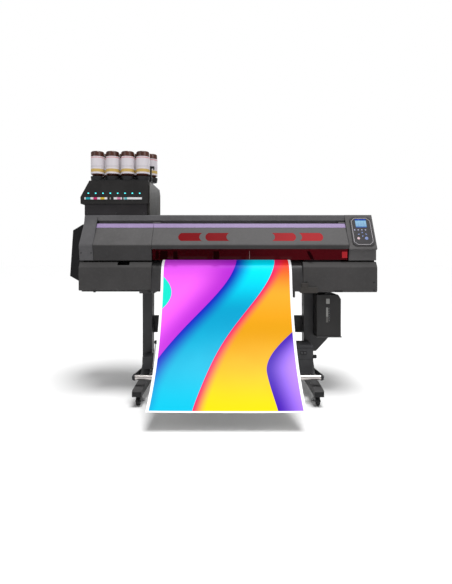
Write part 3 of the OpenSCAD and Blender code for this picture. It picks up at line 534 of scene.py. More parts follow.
for i in range(3):
    rod(bm, (640 + i * 14, -71.2, 975), (640 + i * 14, -73, 975), 2.4, 16)


def lamp_lens(name, strength, scale, dim, bright):
    """A lit lens whose colour is a little uneven."""
    lens = Finish(name, Roughness=0.2, Emission_Strength=strength)
    light = lens.fade(lens.noise(scale), 0.3, 0.7, dim, bright)
    return lens.surface(light, glow=light)


finished(bm, "carriage_lights", "print_carriage", "lamp_cyan",
         lamp_lens("status light", 1.6, 500.0, (0.05, 0.5, 0.5, 1), (0.12, 0.75, 0.72, 1)))
restated("cutter_carriage", "cutter_carriage", "carriage_grey", carriage_plastic, 1.4)
screws("cutter_screws", "cutter_carriage", "roller_steel", screw_zinc,
       (3.4, 1.8, [((x, -8, z), front) for z in (904, 972) for x in (-674, -606)]))
steel = brushed("ground steel", (0.6, 0.6, 0.62), 0.24, (60, 60, 8))
bm = cad_shape("blade_holder")
soften(bm, 0.6)
for dx, dy in around(24, 12):
    rod(bm, (-640 + dx, -30 + dy, 936), (-640 + dx, -30 + dy, 947), 0.9, 6)
finished(bm, "blade_holder_skin", "blade_holder", "blade_steel", steel, ["blade_holder"])
restated("capping_station", "capping_station", "carriage_grey", station_plastic, 1.2)
bm = bmesh.new()
cap_y, cap_half_x, cap_half_y, cap_foot, cap_top = -34, 26, 18, 824, 833
for middle in (548, 652):
    block(bm, (middle - cap_half_x, cap_y - cap_half_y, cap_foot),
          (middle + cap_half_x, cap_y + cap_half_y, cap_top))
    top = [f for f in bm.faces if f.calc_center_median().z > cap_top - 0.1
           and abs(f.calc_center_median().x - middle) < 2]
    bmesh.ops.inset_region(bm, faces=top, thickness=4, depth=-6)
soften(bm, 0.8)
finished(bm, "cap_lips", "capping_station", "pinch_rubber", pad_rubber)


# ---------- Outer covers ----------
# Injection-moulded dark grey covers, 3 mm thick, screwed to the tray. The long front cover
# swings up on two pins; the lower left one tips forward on its lower edge.
# The lip grey is the cover grey at about half its brightness: painted shade for lips that face down and
# forward.
cover_grey, top_grey, lower_grey, lip_painted_shade_grey = [
    coated(name, colour, 0.5, 1500, 0.00012, 0.08, Specular_IOR_Level=0.1) for name, colour in (
        ("cover plastic", (0.094, 0.091, 0.092)), ("top cover plastic", (0.095, 0.093, 0.097)),
        ("lower cover plastic", (0.054, 0.052, 0.052)), ("cover lip plastic in painted shade", (0.045, 0.0435, 0.044)))]
violet = coated("violet stripe", (0.3, 0.225, 0.4), 0.4, 1800, 0.00005, 0.03, 1, Specular_IOR_Level=0.1)
kink, lower_bends = (-200, 923), ((-200, 790), (-178, 823))
lip_top, band_low, band_high = 924, 1031, 1059.5
crown, back_top, back_edge = (-92, 1114), (270, 1114), (290, 1094)
restated("left_end_cover", "root", "cover_grey", top_grey, 2.5, (kink, crown, back_top, back_edge), 9)
bm = cad_shape("top_cover")
round_off(bm, run_edges(bm, crown, back_top, back_edge), 8, 5)
soften(bm, 0.8)
finished(bm, "top_cover_skin", "root", "cover_grey", top_grey, ["top_cover"])
restated("right_end_cover", "root", "cover_grey", cover_grey, 2.2, (back_top, back_edge), 9)


def striped(node, body):
    """A front cover: its lip is painted darker than its slope, a painted shade, and the fixed one's upper
    band is violet.
    """
    bm = cad_shape(node)
    round_off(bm, run_edges(bm, kink), 10, 6)
    soften(bm, 0.8)
    bm.normal_update()
    for face in bm.faces:
        height = face.calc_center_median().z
        if node == "left_front_cover" and band_low < height < band_high and face.normal.y < -0.2:
            face.material_index = 1
        # Lip faces take the darker grey, a painted shade.
        elif height < lip_top and face.normal.y < -0.9:
            face.material_index = 2
    return finished(bm, node + "_skin", body, "cover_grey", [cover_grey, violet, lip_painted_shade_grey], [node])


striped("left_front_cover", "root")
striped("main_cover", "main_cover")
restated("cover_stripe", "main_cover", "stripe_violet", violet, 0.5)
restated("right_lower_cover", "root", "lower_grey", lower_grey, 1.0, lower_bends, 5)
restated("left_lower_cover", "left_lower_cover", "lower_grey", lower_grey, 1.0, lower_bends, 5)
dark_trim = coated("dark trim", (0.012, 0.012, 0.013), 0.5, 1500, worn=1)
screws("cover_screws", "root", "foot_steel", dark_trim,
       (4.2, 1.6, [((x, -200, z), front) for z in (652, 700) for x in (876, 470)]),
       (3.6, 1.5, [((x, -192, 876), (0, -1, 0.18)) for x in (-884, -824)]),
       (4.5, 1.8, [((896, y, z), right) for z in (1010, 900) for y in (-20, 120, 240)]
        + [((-896, -20, 900), left)]))
# A dark block on the right lower cover stands for the catch's slot; its darkness is painted shade.
boxes("catch_slot", "root", "caster_black", dark_trim, [((640, -201, 640.5), (690, -196, 649))], 0.8)
# Dark rods along the seams between the end covers and the front covers: painted shade in the gaps.
bm = bmesh.new()
seam = [(-183.5, 833), (-200.3, 923), (-125.3, 1032.3), (-108.3, 1058.3)]
for x in (-812, 727.5):
    for here, there in zip(seam, seam[1:]):
        rod(bm, (x, *here), (x, *there), 1.1, 8)
finished(bm, "cover_seam_shade_lines", "root", "caster_black", dark_trim)
bm = bmesh.new()
ledge = block(bm, (432, -216, 637), (536, -200.4, 670))
for v in ledge:
    if v.co.z > 660 and v.co.y < -210:
        v.co.y += 6
block(bm, (438, -211, 668), (480, -200.4, 696))
soften(bm, 2.4, 3)
block(bm, (392, -118, 601), (415, -100, 641))
finished(bm, "front_ledge_cover", "root", "lower_grey",
         coated("ledge cover plastic", (0.044, 0.04, 0.037), 0.5, 1300))
boxes("flap_latches", "left_lower_cover", "caster_black", cap_plastic,
      [((x - 7, -202.6, 640), (x + 7, -198, 650)) for x in (-800, -470)], 1.2, 3)
boxes("cover_finger_grips", "main_cover", "caster_black", cap_plastic,
      [((x - 45, -197, 898), (x + 45, -189.5, 902.5)) for x in (-380, 660)], 1.5, 3)


# ---------- Red windows ----------
# Tinted acrylic: four shaped inserts set flush in the slope, and a long darker pane
# hanging below the lip. Both glow a little as painted light, and are painted darker to the
# left and lighter to the right as painted shade and highlight.
# Painted light: the acrylic glows at strength glow, and its colour runs from left at the machine's left
# end to right at its right end, a painted shade and highlight.
def acrylic(name, left, right, glow, opacity):
    finish = Finish(name, Roughness=0.08, Alpha=opacity, Emission_Strength=glow, IOR=1.49,
                    Specular_IOR_Level=0.02)
    # across carries that painted shade and highlight; mist is uneven tint.
    across = finish.span(finish.axis(0), -0.2, 0.75)
    mist = finish.noise(14.0, 4.0)
    scratches = finish.noise(55.0, 6.0, (0.3, 1, 5))
    body = finish.fade(across + mist * 0.35, 0.1, 1.2, left, right)
    return finish.surface(body, scratches * 0.12 + 0.26, scratches, 0.00005, 0.1, glow=body)


insert_red_painted_glow = acrylic("red inserts", (0.115, 0.002, 0.004, 1), (0.24, 0.014, 0.018, 1), 0.6, 0.985)
pane_red_painted_glow = acrylic("dark red pane", (0.02, 0.0, 0.001, 1), (0.05, 0.002, 0.004, 1), 0.4, 0.93)
bm = cad_shape("cover_windows")
soften(bm, 0.3)
for face in bm.faces:
    if face.calc_center_median().z < 921:
        face.material_index = 1
finished(bm, "cover_windows_skin", "main_cover", "window_red", [insert_red_painted_glow, pane_red_painted_glow],
         ["cover_windows"])
pane_front, pane_back = -190.4, -187.6
boxes("pane_joint", "main_cover", "roll_paper", coated("pane joint", (0.16, 0.1, 0.1), 0.4),
      [((128, pane_front, 838), (131, pane_back, 898))])
# Dark blocks on the pane are painted shadows of what lies behind it. The red latch at the right end glows
# with the inserts' painted light.
bm = bmesh.new()
arm = block(bm, (466, pane_front, 836), (486, pane_back, 900))
for v in arm:
    v.co.x += (v.co.z < 860) * 34
for x, wide in ((-436, 18), (-408, 44), (-330, 26), (-88, 34)):
    block(bm, (x, pane_front, 838), (x + wide, pane_back, 898))
block(bm, (686, pane_front, 846), (718, pane_back, 884))
soften(bm, 0.8)
for face in bm.faces:
    face.material_index = int(face.calc_center_median().x > 600)
finished(bm, "pane_shadows_and_latch", "main_cover", "window_red",
         [acrylic("pane shadows", (0.006, 0, 0, 1), (0.01, 0, 0.001, 1), 0.1, 0.99), insert_red_painted_glow])


# ---------- Operation panel ----------
# A plate with a printed film overlay, tilted on the right slope: a colour display, four
# film keys, and six moulded push keys. A thin pale line runs round the film.
panel_tilt = math.degrees(math.atan2(104, 203))
on_panel = (Matrix.Translation((819, -148, 1006.5))
            @ Matrix.Rotation(math.radians(90 - panel_tilt), 4, "X"))
film = coated("panel film", (0.052, 0.05, 0.053), 0.4, 2200, 0.00004, 0.06, 1.3, Specular_IOR_Level=0.1)
restated("keypad_panel", "root", "panel_black", film, 1.0)


def unroll(bm, name, corner, size):
    """Lays a flat shape's UV map out from one corner, over a width and a height."""
    layer = bm.loops.layers.uv.new(name)
    for loop in (loop for face in bm.faces for loop in face.loops):
        loop[layer].uv = [(loop.vert.co[i] - corner[i]) / size[i] for i in (0, 1)]


def panel_part(bm, name, slot, material, *stands_for):
    """A part made flat, with the panel's plate at a height of 5.6, tilted into its place."""
    bmesh.ops.transform(bm, matrix=on_panel, verts=bm.verts)
    return finished(bm, name, "root", slot, material, stands_for)


pale_ink = coated("pale line ink", (0.5, 0.48, 0.5), 0.45, 2000, 0.00003, worn=1)
bm = bmesh.new()
half_x, half_y, cut = 57, 92, 20
corners = [Vector((x, y, 6.0)) for x, y in (
    (half_x, cut - half_y), (half_x, half_y - cut), (half_x - cut, half_y), (cut - half_x, half_y),
    (-half_x, half_y - cut), (-half_x, cut - half_y), (cut - half_x, -half_y), (half_x - cut, -half_y))]
for here, there in zip(corners, corners[1:] + corners[:1]):
    rod(bm, here, there, 1.5, 12)
panel_part(bm, "panel_outline", "panel_black", pale_ink)
screen = Finish("lit screen", Roughness=0.12, Emission_Strength=0.2, Specular_IOR_Level=0.1)
spot, _, v = screen.unrolled("screen")
tiles = screen.add("TexBrick", dict(offset=0.0, squash=1.0), spot, (1, 1, 1, 1),
                   (0.8, 0.8, 0.8, 1), (0, 0, 0, 1), 4.0, 0.045, 0.1, 0.0, 1.0, 0.72)
tile_mask = tiles * screen.span(v, 0.1, 0.12) * screen.span(v, 0.79, 0.77)
page = screen.blend(v, (0.05, 0.15, 0.3, 1), (0.13, 0.32, 0.46, 1))
page = screen.blend(tile_mask * 0.35, page, (0.5, 0.68, 0.85, 1))
page = screen.fade(v, 0.82, 0.83, page, (0.02, 0.05, 0.3, 1))
page = screen.fade(v, 0.05, 0.045, page, (0.03, 0.08, 0.4, 1))
screen_glass = screen.surface(page, screen.noise(40.0) * 0.1 + 0.08, glow=page)
screen_half, screen_low, screen_high = 33.8, 27.2, 86.8
bm = bmesh.new()
block(bm, (-screen_half, screen_low, 4.6), (screen_half, screen_high, 6.2))
soften(bm, 0.4)
unroll(bm, "screen", (-screen_half, screen_low), (2 * screen_half, screen_high - screen_low))
panel_part(bm, "display_screen", "display_blue", screen_glass, "display")
bm = bmesh.new()
for x in (-44, -22, 0, 22):
    turned(bm, [(0, 1.1), (3, 1.0), (4.4, 0.5), (4.8, 0), (0, 0)], (x, 9, 5.95), up, 24)
panel_part(bm, "film_keys", "key_grey",
           coated("lavender film keys", (0.3, 0.3, 0.42), 0.3, 2000, 0.00003))
key_blue = coated("blue keys", (0.2, 0.26, 0.5), 0.35, 2000, 0.00005)
key_pink = coated("pale pink key", (0.62, 0.45, 0.48), 0.35, 2000, 0.00005)
for code in ("up", "down", "left", "right", "stop", "enter"):
    restated("key_" + code, "key_" + code, "key_grey", key_pink if code == "stop" else key_blue, 0.5)
bm = bmesh.new()
for x, y in ((-52, 84), (52, 84), (-52, -84), (52, -84)):
    socket_screw(bm, (x, y, 5.6), up, 2.6, 1.2)
turned(bm, [(0, 1.2), (1.6, 1.0), (2, 0), (0, 0)], (44, 9, 5.9), up, 16)
panel_part(bm, "panel_screws", "foot_steel", screw_zinc)


# ---------- Side box ----------
# A black moulded housing for the power supply and air pump hangs on the left end. Its
# corners are well rounded, and louvres on its outer side let the warm air out.
box_black = coated("side box plastic", (0.008, 0.008, 0.009), 0.46, 1300, 0.0002)
restated("side_box", "root", "box_black", box_black, 2.6)
box_left, box_lean, box_foot, box_rise = -1041, 20, 725, 301
bm = bmesh.new()
for row in range(7):
    z = 790 + row * 22
    x = box_left + box_lean * (z - box_foot) / box_rise
    for y in (90, 180):
        block(bm, (x - 2, y, z), (x + 2, y + 66, z + 9))
soften(bm, 1.2)
for y, along in ((50, front), (280, back)):
    for x in (-1010, -915):
        socket_screw(bm, (x, y, 800), along, 4, 2)
finished(bm, "side_box_louvres", "root", "box_black", box_black)


# ---------- Ink unit ----------
# A moulded base and a stepped upper bezel on the left of the top cover. Eight lamps show
# which bottle is in use, and a printed strip below them gives each bottle's colour.
ink_grey = coated("ink base plastic", (0.023, 0.021, 0.023), 0.42, 1400, 0.00015)
bezel_grey = coated("ink bezel plastic", (0.019, 0.018, 0.018), 0.4, 1400, 0.00015)
side_grey = coated("ink side panel", (0.03, 0.028, 0.026), 0.42, 1400, 0.00015)
restated("ink_base", "root", "ink_grey", ink_grey, 3.0)
restated("ink_bezel", "root", "ink_grey", bezel_grey, 3.2)
bm = bmesh.new()
outline = [(-84, 1116), (328, 1116), (330, 1292), (296, 1329), (-58, 1329), (-90, 1300)]
side = bm.faces.new([bm.verts.new((-498, y, z)) for y, z in outline])
far = bmesh.ops.extrude_face_region(bm, geom=[side])["geom"]
bmesh.ops.translate(bm, vec=(8, 0, 0), verts=[v for v in far if isinstance(v, bmesh.types.BMVert)])
bmesh.ops.recalc_face_normals(bm, faces=bm.faces)
block(bm, (-509, -78, 1118), (-498, 320, 1181))
soften(bm, 2.2, 3)
finished(bm, "ink_side_panel", "root", "ink_grey", side_grey)
screws("ink_unit_screws", "root", "foot_steel", screw_zinc,
       (4, 1.6, [((-490, 304, z), right) for z in (1172, 1188, 1204)]),
       (3.4, 1.5, [((x, -88, 1126), front) for x in (-880, -700, -525)]))
bm = cad_shape("ink_lamps")
soften(bm, 0.8)
finished(bm, "ink_lamp_lenses", "root", "lamp_cyan",
         lamp_lens("cyan lamps", 1.8, 300.0, (0.03, 0.45, 0.5, 1), (0.1, 0.75, 0.75, 1)), ["ink_lamps"])
white = (0.7, 0.7, 0.72)
strip_bars = ((-894, -752, white), (-886, -856, (0.0, 0.3, 0.36)), (-838, -814, (0.5, 0.01, 0.12)),
              (-794, -768, (0.6, 0.42, 0.02)), (-736, -730, (0.3, 0.3, 0.3)), (-712, -660, white),
              (-690, -668, (0.6, 0.2, 0.35)), (-650, -536, white), (-646, -628, (0.1, 0.4, 0.45)))


def printed(name, rough=0.35):
    """Printed film or paper whose ink colour is stored on the mesh."""
    finish = Finish(name, Coat_Weight=0.2)
    ink = finish.add("Attribute", dict(attribute_name="ink"))
    fibre = finish.noise(900.0, 4.0)
    scuff = finish.span(finish.noise(45.0, 5.0), 0.5, 0.75)
    body = finish.blend(fibre * 0.16 + scuff * 0.08, ink, (0.5, 0.5, 0.5, 1), "OVERLAY")
    return finish.surface(body, scuff * 0.15 + fibre * 0.1 + rough, fibre, 0.00005, 0.15)


strip_film = printed("colour strip film")
bm = bmesh.new()
shade = bm.verts.layers.float_color.new("ink")
strip_front, strip_low, strip_high = -103.2, 1210, 1223
for x0, x1, ink in strip_bars:
    proud = 0.0 if ink == white else 0.4
    for v in block(bm, (x0, strip_front - proud, strip_low), (x1, -100, strip_high)):
        v[shade] = (*ink, 1)
soften(bm, 0.3)
finished(bm, "colour_strip", "root", "ink_grey", strip_film)


# ---------- Ink bottles ----------
# Eight dark amber bottles stand neck down in two stepped rows. Each wears a paper label
# with a yellow band, grey lines and a thin red line.
amber = Finish("amber plastic", Coat_Weight=0.5, Coat_Roughness=0.08, IOR=1.5)
amber_cloud = amber.noise(25.0, 4.0)
amber_flow = amber.noise(12.0, 3.0, (1, 1, 0.2))
bottle_amber = amber.surface(
    amber.fade(amber_flow, 0.3, 0.7, (0.028, 0.008, 0.005, 1), (0.085, 0.024, 0.012, 1)),
    amber_cloud * 0.14 + 0.1, amber.noise(400.0), 0.0001, 0.12)
label_paper = printed("bottle label paper", 0.42)
cap_black = coated("bottle collar", (0.02, 0.02, 0.021), 0.4, 1500, 0.0001)
bottles, labels, collars = bmesh.new(), bmesh.new(), bmesh.new()
shade = labels.verts.layers.float_color.new("ink")
paper, yellow, red, grey = (0.66, 0.62, 0.66), (0.56, 0.38, 0.1), (0.6, 0.06, 0.06), (0.42, 0.4, 0.42)
label_foot, label_top = 46, 155
first_x, pitch, stagger, row_y, tray_z, row_step = -829, 96, 23, (-44, 116), 1330, 20
bands = ((label_foot, paper), (57, paper), (57.2, yellow), (76, yellow), (76.2, paper), (88, paper),
         (88.2, grey), (89.8, grey), (90, paper), (95, paper), (95.2, grey), (96.8, grey), (97, paper),
         (146, paper), (146.2, red), (149, red), (149.2, paper), (label_top, paper))
for row in (0, 1):
    for place in range(4):
        foot = Vector((first_x + pitch * place + stagger * row, row_y[row], tray_z + row_step * row))
        turned(bottles, [(0, 0.5), (18.5, 0.5), (20, 2), (20, 17), (19, 19.5), (16, 20.5), (16, 25),
                         (18, 28.5), (36.5, 40.2), (40.2, 43.6), (42, 48.5), (42, 180), (41.2, 184.4),
                         (38.6, 187.2), (35, 188), (24, 187.6), (21, 185.8), (0, 185)], foot, up, 40)
        turned(collars, [(20.3, 1), (22.5, 1.6), (22.5, 16), (20.3, 17.4), (20.3, 1)], foot, up, 36)
        turned(collars, [(24, 0.4), (38, 0.4), (39.5, 2), (43, 27), (43, 30), (40.5, 30), (37, 6),
                         (24, 4), (24, 0.4)], foot, up, 32)
        for v in turned(labels, [(42.05, label_foot)] + [(42.35, h) for h, _ in bands]
                        + [(42.05, label_top)], foot, up, 48):
            band = min(bands, key=lambda b: abs(b[0] - (v.co.z - foot.z)))
            v[shade] = (*band[1], 1)
finished(bottles, "bottle_bodies", "root", "bottle_amber", bottle_amber, ["ink_bottles"])
finished(labels, "bottle_labels", "root", "roll_paper", label_paper)
finished(collars, "bottle_collars", "root", "caster_black", cap_black)
boxes("bottle_tray_hook", "root", "caster_black", cap_plastic,
      [((-505, -24, 1322), (-489, -4, 1372)), ((-501, -20, 1366), (-491, -8, 1426)),
       ((-501, -20, 1420), (-474, -8, 1434)), ((-481, -20, 1410), (-474, -8, 1424))], 1.6)
boxes("bottle_tray_ribs", "root", "caster_black", cap_plastic,
      [((x - 9, -84, 1328), (x + 9, -76, 1340 if x % 96 else 1346)) for x in range(-832, -540, 48)]
      + [((-846, -82, 1328), (-520, -78, 1336))], 1.4)


# ---------- Take-up unit ----------
# A grey motor box on the right post turns the take-up core; a holder with a draw-back
# plug and a hand lever carries its left end. A loose tension bar hangs in front.
takeup_grey = coated("take-up plastic", (0.045, 0.045, 0.048), 0.45, 1300)
flange_black = coated("core flange plastic", (0.02, 0.02, 0.021), 0.42, 1300)
restated("takeup_motor", "root", "takeup_grey", takeup_grey, 3.0)
restated("roll_holder", "root", "takeup_grey", takeup_grey, 2.4)
core_y, core_z, knob_y, knob_z = -108, 204, -120, 236
bm = cad_shape("takeup_flange")
soften(bm, 1.4, 3)
for dy, dz in around(6, 40):
    rod(bm, (396.4, core_y + dy, core_z + dz), (398, core_y + dy, core_z + dz), 5, 16)
finished(bm, "takeup_flange_skin", "takeup_flange", "flange_black", flange_black, ["takeup_flange"])
restated("holder_plug", "holder_plug", "flange_black", flange_black, 1.4)
bm = bmesh.new()
turned(bm, [(0, 0), (12, 0), (12, 3), (10.6, 4.5), (10.6, 33), (9.4, 35), (0, 35.4)],
       (512, knob_y, knob_z), right, 36)
for dy, dz in around(18, 10.5):
    rod(bm, (517, knob_y + dy, knob_z + dz), (545, knob_y + dy, knob_z + dz), 1.0, 6)
finished(bm, "takeup_knob", "root", "caster_black", cap_plastic)
# Dark strips on the motor box's front at its step lines are painted shade under the steps; a dark patch
# sits behind the switches.
boxes("takeup_seams", "root", "caster_black", dark_trim,
      [((400.6, -180.5, 231.4), (512.4, -178, 233.2)), ((400.6, -181.2, 300), (512.4, -179, 302)),
       ((436, -182.2, 262), (476, -178, 282))], 0.5)
bm = bmesh.new()
for middle in (446, 466):
    rocker = block(bm, (middle - 7, -186, 265), (middle + 7, -181, 279))
    for v in rocker:
        if v.co.y < -184 and v.co.z < 270:
            v.co.y += 3
soften(bm, 0.9, 3)
for z in (150, 308):
    for x in (408, 505):
        socket_screw(bm, (x, -180, z), front, 3.4, 1.6)
finished(bm, "takeup_switches", "root", "caster_black", hub_plastic)
bm = cad_shape("holder_lever")
soften(bm, 1.0)
finished(bm, "holder_lever_arm", "holder_lever", "lever_steel", zinc, ["holder_lever"])
lever_foot, lever_long, lever_lean = Vector((-455, -161, 180)), 150, math.radians(6)
lever_line = Vector((math.sin(lever_lean), 0, math.cos(lever_lean)))
bm = bmesh.new()
turned(bm, [(0, -9), (5, -8.6), (7.6, -6), (9.6, 0), (10.4, 6), (9.6, 11), (6, 14.6), (0, 15.6)],
       lever_foot + lever_long * lever_line, lever_line, 28)
finished(bm, "holder_lever_knob", "holder_lever", "caster_black", cap_plastic)
bar_tube = brushed("tension tube", (0.62, 0.58, 0.56), 0.26, (2, 120, 120))
bar_y, bar_z, bar_radius, bar_half = -280, 154, 15.5, 537.5
bm = cad_shape("tension_bar")
soften(bm, 0.8)
for face in bm.faces:
    spot = face.calc_center_median()
    on_tube = math.hypot(spot.y - bar_y, spot.z - bar_z) < bar_radius and abs(spot.x) < bar_half
    face.material_index = 0 if on_tube else 1
finished(bm, "tension_bar_skin", "tension_bar", "bar_steel", [bar_tube, arm_paint], ["tension_bar"])
bm = bmesh.new()
for side in (-1, 1):
    hex_bolt(bm, (side * 553, bar_y, bar_z), (side, 0, 0), 6, 4)
finished(bm, "tension_bar_bolts", "tension_bar", "foot_steel", screw_zinc)


# ---------- Waste ink tank ----------
# A moulded tank stands on the right shelf. Two sight windows of clouded plastic let the
# level show, and a finger lip at the top helps it out.
tank_grey = coated("tank plastic", (0.03, 0.029, 0.029), 0.5, 900, 0.0003)
restated("waste_tank", "root", "tank_grey", tank_grey, 3.0)
window = Finish("clouded sight window", Roughness=0.4)
milk, ink_level = window.noise(90.0, 4.0), 0.486
milky = window.surface(
    window.fade(window.axis(2) + milk * 0.006, ink_level, ink_level + 0.003,
                (0.1, 0.095, 0.09, 1), (0.25, 0.25, 0.24, 1)), milk * 0.3 + 0.25, milk, 0.0002)
boxes("tank_windows", "root", "roll_paper", milky,
      [((605, -129.6, 563), (627, -127.6, 594)), ((605, -129.6, 448), (618, -127.6, 540))], 0.8)
boxes("tank_marks", "root", "tank_grey", plain_plate,
      [((620.5, -130.6, z), (626, -129.4, z + 1.2)) for z in range(458, 536, 11)], 0.3)
tank_cap_x, tank_cap_y, tank_cap_radius = 590, -60, 22
bm = bmesh.new()
turned(bm, [(0, 0), (tank_cap_radius, 0), (tank_cap_radius, 10), (20, 13), (0, 13.4)],
       (tank_cap_x, tank_cap_y, 617), up, 36)
for dx, dy in around(16, tank_cap_radius):
    rod(bm, (tank_cap_x + dx, tank_cap_y + dy, 618), (tank_cap_x + dx, tank_cap_y + dy, 628), 1.3, 6)
finished(bm, "tank_cap", "root", "caster_black", cap_plastic)


# ---------- Printed sheet ----------
# One sheet of white vinyl runs from the roll behind, over the plates and the front guide,
# and hangs with its own forward curl. It is printed with flowing bands inside a margin.
sheet_width, sheet_thick = 787, 0.6
roll_y, roll_z = 249.7, 530
rear_centre, rear_radius = (215, 740), 95
front_centre, front_radius, fall = (-95, 735), 100, math.radians(80)
curl_radius, tip_angle, tip_height = 830, math.radians(66), 98
lean = math.pi / 2 - fall


def on_arc(centre, radius, angle):
    """A (Y, Z) point on a bend, and the direction in which it faces away from the centre."""
    y, z = math.cos(angle), math.sin(angle)
    return (centre[0] + radius * y, centre[1] + radius * z), (y, z)


bend_end = on_arc(front_centre, front_radius, math.pi / 2 + fall)[0]
hang_height = tip_height + curl_radius * (math.sin(tip_angle) - math.sin(lean))
hang_end = (bend_end[0] - (bend_end[1] - hang_height) * math.tan(lean), hang_height)
curl_centre = (hang_end[0] - curl_radius * math.cos(lean), hang_end[1] + curl_radius * math.sin(lean))
runs = (rear_centre[1] - roll_z, rear_radius * math.pi / 2, rear_centre[0] - front_centre[0],
        front_radius * fall, math.dist(bend_end, hang_end), curl_radius * (tip_angle - lean))
sheet_length = sum(runs)


def along_sheet(s):
    """The (Y, Z) point of the sheet's lower face and its outward direction, s from the roll."""
    rise, rear_bend, table, front_bend, hang, _ = runs
    if s <= rise:
        return (rear_centre[0] + rear_radius, roll_z + s), (1, 0)
    s -= rise
    if s <= rear_bend:
        return on_arc(rear_centre, rear_radius, s / rear_radius)
    s -= rear_bend
    if s <= table:
        return (rear_centre[0] - s, rear_centre[1] + rear_radius), (0, 1)
    s -= table
    if s <= front_bend:
        return on_arc(front_centre, front_radius, math.pi / 2 + s / front_radius)
    s -= front_bend
    if s <= hang:
        point = [start + (stop - start) * s / hang for start, stop in zip(bend_end, hang_end)]
        return point, (-math.cos(lean), math.sin(lean))
    point, (y, z) = on_arc(curl_centre, curl_radius, -lean - (s - hang) / curl_radius)
    return point, (-y, -z)


bm = bmesh.new()
bmesh.ops.create_grid(bm, x_segments=36, y_segments=170, size=0.5)
unroll(bm, "print", (-0.5, -0.5), (1, 1))
free_from, free_over, sway_depth, curl_depth = sum(runs[:4]) + 60, 400, 1.6, 2.2
for v in bm.verts:
    across, s = v.co.x, (0.5 - v.co.y) * sheet_length
    (y, z), (out_y, out_z) = along_sheet(s)
    free = max(0.0, min(1.0, (s - free_from) / free_over))
    sway = sway_depth * free * math.sin(5.2 * across + 0.9) * math.sin(0.006 * s)
    curl = curl_depth * free * (2 * abs(across)) ** 6
    lift = sheet_thick + sway + curl
    v.co = (sheet_middle + across * sheet_width, y + out_y * lift, z + out_z * lift)
bmesh.ops.recalc_face_normals(bm, faces=bm.faces)
bm.normal_update()
in_front = Vector((sheet_middle, -260, 500))
facing = min(bm.faces, key=lambda f: (f.calc_center_median() - in_front).length)
if facing.normal.y > 0:
    bmesh.ops.reverse_faces(bm, faces=bm.faces)
# The print glows at this strength, a painted light standing in for light it does not catch, and its
# colour is dimmed by the same factor.
print_painted_glow = 0.56
vinyl = Finish("printed vinyl", Specular_IOR_Level=0.1, Emission_Strength=print_painted_glow)
_, u, v = vinyl.unrolled("print")
h = v * (sheet_length / sum(runs[3:]))


def band_edge(low, high, start, end, sway, phase):
    """Where a band's left edge lies across the sheet at each height h above its hanging end."""
    return vinyl.span(h, start, end, low, high) + h.maths("SINE", h * 7.3 + phase) * sway


first = band_edge(-0.1, 0.55, 0.12, 0.95, 0.03, 0.4)
second = band_edge(0.26, 0.84, 0.0, 0.98, 0.035, 0.9)
third = band_edge(0.8, 1.3, 0.25, 0.85, 0.03, 2.2)
leaf = h.maths("SINE", h * 6.4 + 3.1) * 0.34 - 0.26
wash = vinyl.noise(3.5, 2.0)
pink = vinyl.fade(first - u, 0.0, 0.3, (0.5, 0.03, 0.66, 1), (1.0, 0.14, 1.0, 1))
pink = vinyl.fade(h, 0.75, 1.05, pink, (0.42, 0.02, 0.62, 1))
pink = vinyl.fade(u - leaf, 0.002, 0.006, (0.01, 0.78, 0.6, 1), pink)
deep = vinyl.fade(h + wash * 0.3, 0.2, 0.75, (0.0, 0.52, 0.74, 1), (0.0, 0.34, 0.58, 1))
deep = vinyl.fade(h, 0.62, 0.88, deep, (0.0, 0.8, 1.0, 1))
blue = vinyl.fade(u - first, 0.0, 0.16, (0.005, 0.02, 0.5, 1), deep)
warm = vinyl.fade(h + wash * 0.1, 0.05, 0.55, (0.9, 0.68, 0.0, 1), (0.74, 0.33, 0.0, 1))
warm = vinyl.fade(h, 0.5, 0.78, warm, (1.0, 0.42, 0.03, 1))
warm = vinyl.fade(h, 0.72, 0.96, warm, (0.95, 0.02, 0.03, 1))
gold = vinyl.fade(u - second, 0.0, 0.09, (0.9, 0.02, 0.12, 1), warm)
night = vinyl.fade(u - third, 0.0, 0.2, (0.05, 0.005, 0.42, 1), (0.42, 0.2, 0.98, 1))
print_ink = vinyl.fade(u - first, -0.002, 0.002, pink, blue)
print_ink = vinyl.fade(u - second, -0.002, 0.002, print_ink, gold)
print_ink = vinyl.fade(u - third, -0.002, 0.002, print_ink, night)
inside = (vinyl.span(u, 0.0185, 0.0195) * vinyl.span(u, 0.9815, 0.9805)
          * vinyl.span(v, 0.006, 0.007) * vinyl.span(h, 1.16, 1.155))
bare = (0.98, 0.98, 0.99, 1)
printed_side = vinyl.blend(inside, bare, print_ink)
glow_dimmed_print = vinyl.blend(1.0, printed_side, (print_painted_glow, print_painted_glow, print_painted_glow, 1), "MULTIPLY")
vinyl_face = vinyl.surface(glow_dimmed_print, wash * 0.1 + inside * 0.05 + 0.3, vinyl.noise(1200.0, 2.0),
                           0.00003, 0.1, glow=printed_side)
liner = Finish("vinyl liner")
fibre = liner.noise(700.0, 4.0)
liner_back = liner.surface(liner.blend(fibre, (0.7, 0.7, 0.69, 1), (0.84, 0.84, 0.83, 1)),
                           fibre * 0.2 + 0.45, fibre, 0.00005, 0.15)
sheet = finished(bm, "printed_sheet", "root", "sheet_vinyl", [vinyl_face, liner_back], ["media_sheet"],
                 weighted=False)
wall = sheet.modifiers.new("thickness", "SOLIDIFY")
wall.thickness, wall.offset = sheet_thick / 1000, -1
wall.material_offset = wall.material_offset_rim = 1


